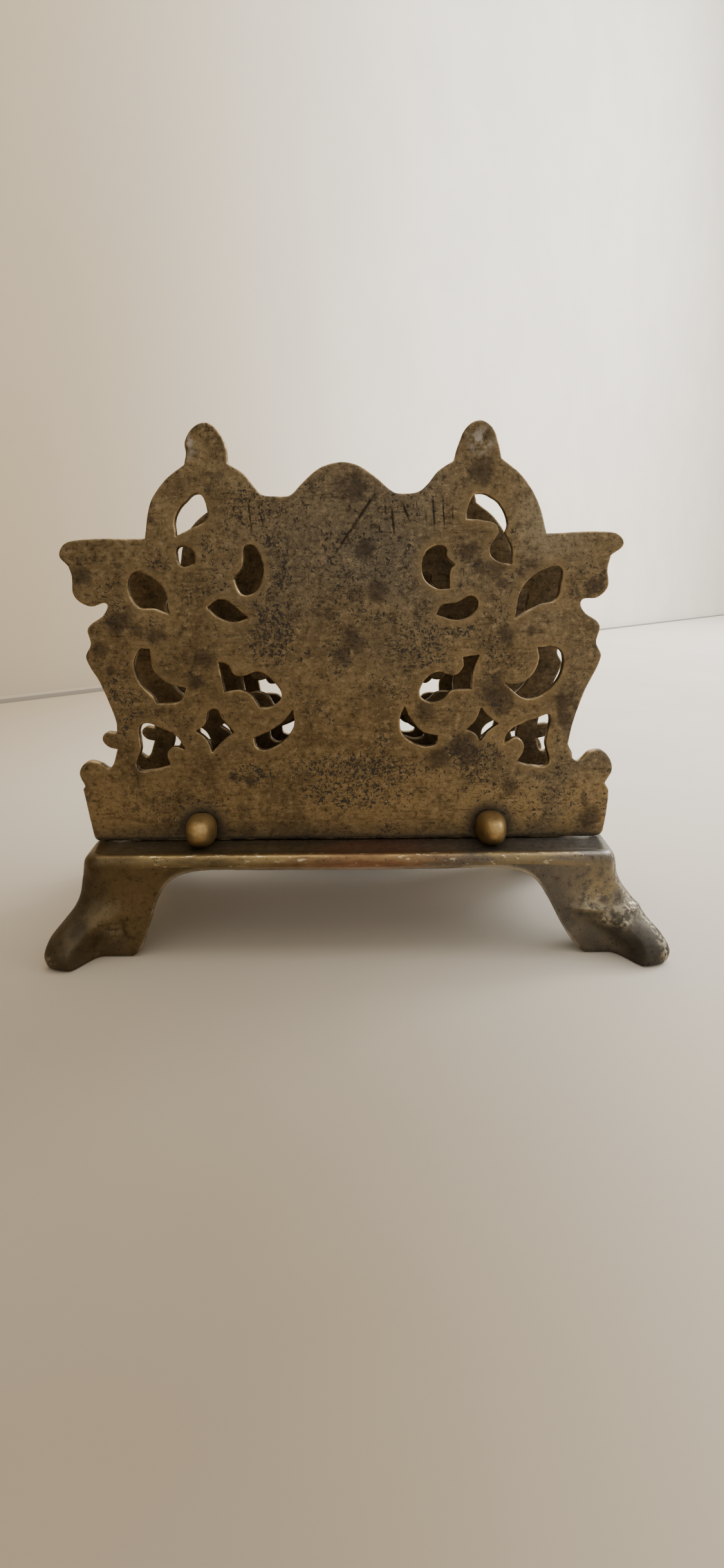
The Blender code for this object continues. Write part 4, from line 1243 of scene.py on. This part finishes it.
def make_nuts(material):
    """Four ball nuts: barrels with domed ends, rubbed and slightly out of true."""
    for node, low, high in nodes_named("ball_nut"):
        out = 1.0 if high.y > 0 else -1.0
        radius = 1.01 * (high.x - low.x) / 2
        length = high.y - low.y
        barrel = 0.20 * length
        hole = ROD_HOLE_RADIUS
        profile = [(6.8, 0.0), (6.0, hole), (0.3, hole), (0.0, hole + 0.3), (0.0, radius - 0.9)]
        profile += [(0.12, radius - 0.5), (0.45, radius - 0.2), (1.0, radius - 0.05)]
        profile.append((0.7 * barrel, radius))
        for turn in np.radians(np.arange(86.0, -1.0, -3.5)):
            along = barrel + (length - barrel) * math.cos(turn)
            profile.append((along, radius * math.sin(turn) ** 0.92))
        profile[-1] = (length, 0.0)
        verts, faces = turned(profile, 72)
        seed = 3.0 if "left" in node else 11.0
        away = np.hypot(verts[:, 0], verts[:, 1])
        inward = smoothstep((away - 2.5) / 1.0) * smoothstep(verts[:, 2] / 2.0)
        dent = 0.07 * wobble(verts, 3.4, seed) * inward
        verts[:, :2] *= (1.0 + dent / np.maximum(away, 1.0))[:, None]
        # The section is squarish and a little taller than it is wide.
        around = np.arctan2(verts[:, 1], verts[:, 0])
        square = (np.abs(np.cos(around)) ** 2.5 + np.abs(np.sin(around)) ** 2.5) ** -0.4
        verts[:, 0] *= square
        verts[:, 1] *= square * 1.10
        masks = {"root": bell(verts[:, 2] / 0.9)}
        centre = ((low.x + high.x) / 2, low.y if out > 0 else high.y, (low.z + high.z) / 2)
        verts = aimed(verts, centre, (0.0, out, 0.0))
        make_piece(node + "_turned", verts, faces, material, node, masks, 60.0)


def make_rods(material):
    """The tie rods, threaded at both ends, and the tube spacers round them."""
    for node, low, high in nodes_named("tie_rod", "spacer"):
        radius = (high.x - low.x) / 2
        length = high.y - low.y
        if node.startswith("tie_rod"):
            half = [(0.0, 0.0), (0.0, radius - 0.4)]
            for along in np.arange(0.4, THREAD_LENGTH, THREAD_PITCH):
                half += [(along, radius - 0.25), (along + 0.5 * THREAD_PITCH, radius)]
        else:
            hole = ROD_HOLE_RADIUS
            half = [(0.2, hole), (0.0, hole + 0.2), (0.0, radius - 0.3), (0.3, radius)]
            half += [(0.3 * length, radius + 0.03)]
        verts, faces = turned(half + [(length - along, out) for along, out in reversed(half)], 48)
        masks = {"root": np.maximum(bell(verts[:, 2] / 1.5), bell((verts[:, 2] - length) / 1.5))}
        centre = ((low.x + high.x) / 2, low.y, (low.z + high.z) / 2)
        verts = aimed(verts, centre, (0.0, 1.0, 0.0))
        make_piece(node + "_turned", verts, faces, material, node, masks, 40.0)


def make_screws(material):
    """Slotted cheese-head screws under the deck."""
    head = 1.9
    shank = 1.2
    pitch = 0.6
    for node, low, high in nodes_named("plate_screw"):
        radius = (high.x - low.x) / 2
        length = high.z - low.z
        profile = [(0.0, 0.0), (0.05, radius - 1.3), (0.3, radius - 0.35), (0.65, radius)]
        profile += [(head, radius), (head, shank)]
        for along in np.arange(head + 1.5, length - pitch, pitch):
            profile += [(along, shank), (along + pitch / 2, shank - 0.2)]
        profile += [(length - 0.4, shank - 0.1), (length, shank / 2), (length, 0.0)]
        verts, faces = turned(profile, 40)
        centre = (*((low + high) / 2).xy, low.z)
        masks = {"root": bell((verts[:, 2] - head) / 0.7)}
        verts = verts + np.array(centre)
        piece = make_piece(node + "_turned", verts, faces, material, node, masks, 40.0)
        cut_slot(piece, centre, radius, 37.0 * len(node) + centre[0])


def cut_slot(piece, centre, radius, angle):
    """Cut the driver's slot across a screw head."""
    bm = bmesh.new()
    bmesh.ops.create_cube(bm, size=1.0)
    size = Vector((3 * radius, 0.8, 1.7)) * MM
    turn = Matrix.Rotation(math.radians(angle), 4, "Z")
    place = Matrix.Translation(Vector(centre) * MM)
    bmesh.ops.transform(bm, matrix=place @ turn @ Matrix.Diagonal((*size, 1.0)), verts=bm.verts)
    mesh = bpy.data.meshes.new("slot_cutter")
    bm.to_mesh(mesh)
    bm.free()
    cutter = placed("slot_cutter", mesh)
    modifier = piece.modifiers.new("slot", "BOOLEAN")
    modifier.operation = "DIFFERENCE"
    modifier.solver = "EXACT"
    modifier.object = cutter
    bpy.context.view_layer.update()
    cut = bpy.data.meshes.new_from_object(piece.evaluated_get(bpy.context.evaluated_depsgraph_get()))
    piece.modifiers.clear()
    piece.data = cut
    bpy.data.objects.remove(cutter)


# ------------------------------------------------------------------------------------------- stage


# The wall's outward direction and its distance from the middle of the floor, in metres.
WALL_OUTWARDS = Vector((0.7727, -0.6348, 0.0))
WALL_AWAY = 0.6785
# The camera, with its distance behind the back plate.
CAMERA_X = -0.0022
CAMERA_BEHIND = 0.2422
CAMERA_Z = 0.1213
CAMERA_TILT = math.radians(15.0)
CAMERA_ROLL = math.radians(-0.5)


def stage_material():
    """A plain matt surface with painted light and shade: warmer to +X, lighter to -X, shadow under the
    deck.
    """
    g = Graph("pale_floor")
    # Painted light: the floor is lighter towards -X, the lit side, and darker and warmer towards +X.
    far = g.paint((0.44, 0.355, 0.235), [(g.ramp(g.x, 0.42, -0.20), (0.91, 0.86, 0.77))])
    front = g.paint((0.285, 0.222, 0.142), [(g.ramp(g.x, 0.03, -0.14), (0.62, 0.55, 0.44))])
    # A painted shadow under the deck.
    deck_shadow = g.near((2.0, -44.0, 0.0), 70.0, (0.60, 1.35, 1.0))
    # Painted shade in the open joint where the floor meets the wall.
    gap = g.node("ShaderNodeVectorMath", {0: g.place, 1: WALL_OUTWARDS}, "Value", operation="DOT_PRODUCT")
    seam_shade = g.ramp(gap, WALL_AWAY - 0.022, WALL_AWAY - 0.010) * g.ramp(g.z, 0.004, 0.002)
    colour = g.paint(far, [
        # Painted shade: darker towards the camera.
        (g.ramp(g.y, -0.25, 0.22), front),
        (deck_shadow * 0.98, (0.012, 0.010, 0.008)),
        (g.ramp(g.grain(160.0, 3.0), 0.35, 0.65, 0.0, 0.10), (0.45, 0.42, 0.38)),
        (seam_shade * 0.75, (0.10, 0.09, 0.08)),
    ])
    return g.finish(colour, 0.85, 0.0, g.grain(2.0, 3.0), 0.02)


def make_stage():
    """A pale floor that meets a pale wall, which recedes towards -X. Lengths here are in metres."""
    outwards = WALL_OUTWARDS.xy
    along = Vector((outwards.y, -outwards.x))
    corner = outwards * WALL_AWAY
    bend = 0.006
    section = [(-5.0, 0.0), (-bend, 0.0)]
    for turn in np.radians(np.arange(22.5, 91.0, 22.5)):
        section.append((-bend + bend * math.sin(turn), bend - bend * math.cos(turn)))
    section.append((0.0, 2.8))
    verts = []
    for out, z in section:
        for distance in (-2.6, 7.0):
            place = corner + along * distance + outwards * out
            verts.append((place.x, place.y, z - 0.0002))
    faces = [(2 * i, 2 * i + 1, 2 * i + 3, 2 * i + 2) for i in range(len(section) - 1)]
    mesh = bpy.data.meshes.new("floor")
    mesh.from_pydata(verts, [], faces)
    mesh.materials.append(stage_material())
    placed("floor", mesh)


def area_light(name, place, target, size, power, colour):
    """A soft rectangular light aimed at a point, unseen by the camera."""
    light = bpy.data.lights.new(name, "AREA")
    light.shape = "RECTANGLE"
    light.size, light.size_y = size
    light.energy = power
    light.color = colour
    lamp = placed(name, light)
    lamp.location = place
    lamp.visible_camera = False
    lamp.rotation_euler = (Vector(target) - Vector(place)).to_track_quat("-Z", "Y").to_euler()


def make_lights():
    """Soft light from above and the wall's side, in a room that is dim away from the wall."""
    world = bpy.data.worlds.new("studio")
    bpy.context.scene.world = world
    world.use_nodes = True
    tree = world.node_tree
    way = tree.nodes.new("ShaderNodeTexCoord")
    facing = tree.nodes.new("ShaderNodeVectorMath")
    facing.operation = "DOT_PRODUCT"
    facing.inputs[1].default_value = Vector((-0.72, 0.40, 0.60)).normalized()
    tree.links.new(way.outputs["Generated"], facing.inputs[0])
    strength = tree.nodes.new("ShaderNodeMapRange")
    for slot, value in ((1, -0.6), (2, 1.0), (3, 0.22), (4, 1.25)):
        strength.inputs[slot].default_value = value
    tree.links.new(facing.outputs["Value"], strength.inputs[0])
    background = tree.nodes["Background"]
    background.inputs["Color"].default_value = (1.0, 0.965, 0.91, 1.0)
    tree.links.new(strength.outputs[0], background.inputs["Strength"])
    area_light("window", (-1.3, -0.25, 1.0), (0.0, 0.0, 0.06), (0.9, 0.9), 12.0, (0.97, 0.98, 1.0))
    area_light("ceiling", (0.0, -0.1, 1.5), (0.0, 0.0, 0.05), (1.4, 1.2), 9.0, (1.0, 0.95, 0.88))
    area_light("wall_wash", (-1.7, -1.1, 1.4), (-0.7, -1.9, 0.4), (1.0, 1.0), 42.0, (1.0, 0.985, 0.96))


def make_camera():
    """The view from behind the rack, a hand's width above the deck, looking down."""
    camera = bpy.data.cameras.new("camera")
    camera.sensor_width = 36.0
    camera.lens = 16.63
    camera.clip_start = 0.005
    eye = placed("camera", camera)
    place = Matrix.Translation((CAMERA_X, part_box("back_plate")[1].y + CAMERA_BEHIND, CAMERA_Z))
    look = Vector((0.0, -math.cos(CAMERA_TILT), -math.sin(CAMERA_TILT)))
    aim = look.to_track_quat("-Z", "Y").to_matrix().to_4x4()
    eye.matrix_world = place @ aim @ Matrix.Rotation(CAMERA_ROLL, 4, "Z")
    bpy.context.scene.camera = eye


# -------------------------------------------------------------------------------------------- main

make_base(base_brass())
# The middle and front plates take the unmarked material with its painted shade.
shaded_inner_plate = plate_brass("patinated_brass_fine")
marked_plate = plate_brass("patinated_brass_marked", marks=True)
make_plate("back_plate", marked_plate)
make_plate("middle_plate", shaded_inner_plate)
make_plate("front_plate", shaded_inner_plate)
make_nuts(turned_brass("rubbed_brass_fine", (0.34, 0.222, 0.084), 0.95))
rod_brass = turned_brass("plain_brass_fine", (0.42, 0.31, 0.15), 0.6)
make_rods(rod_brass)
make_screws(rod_brass)
make_stage()
make_lights()
make_camera()

bpy.context.view_layer.update()
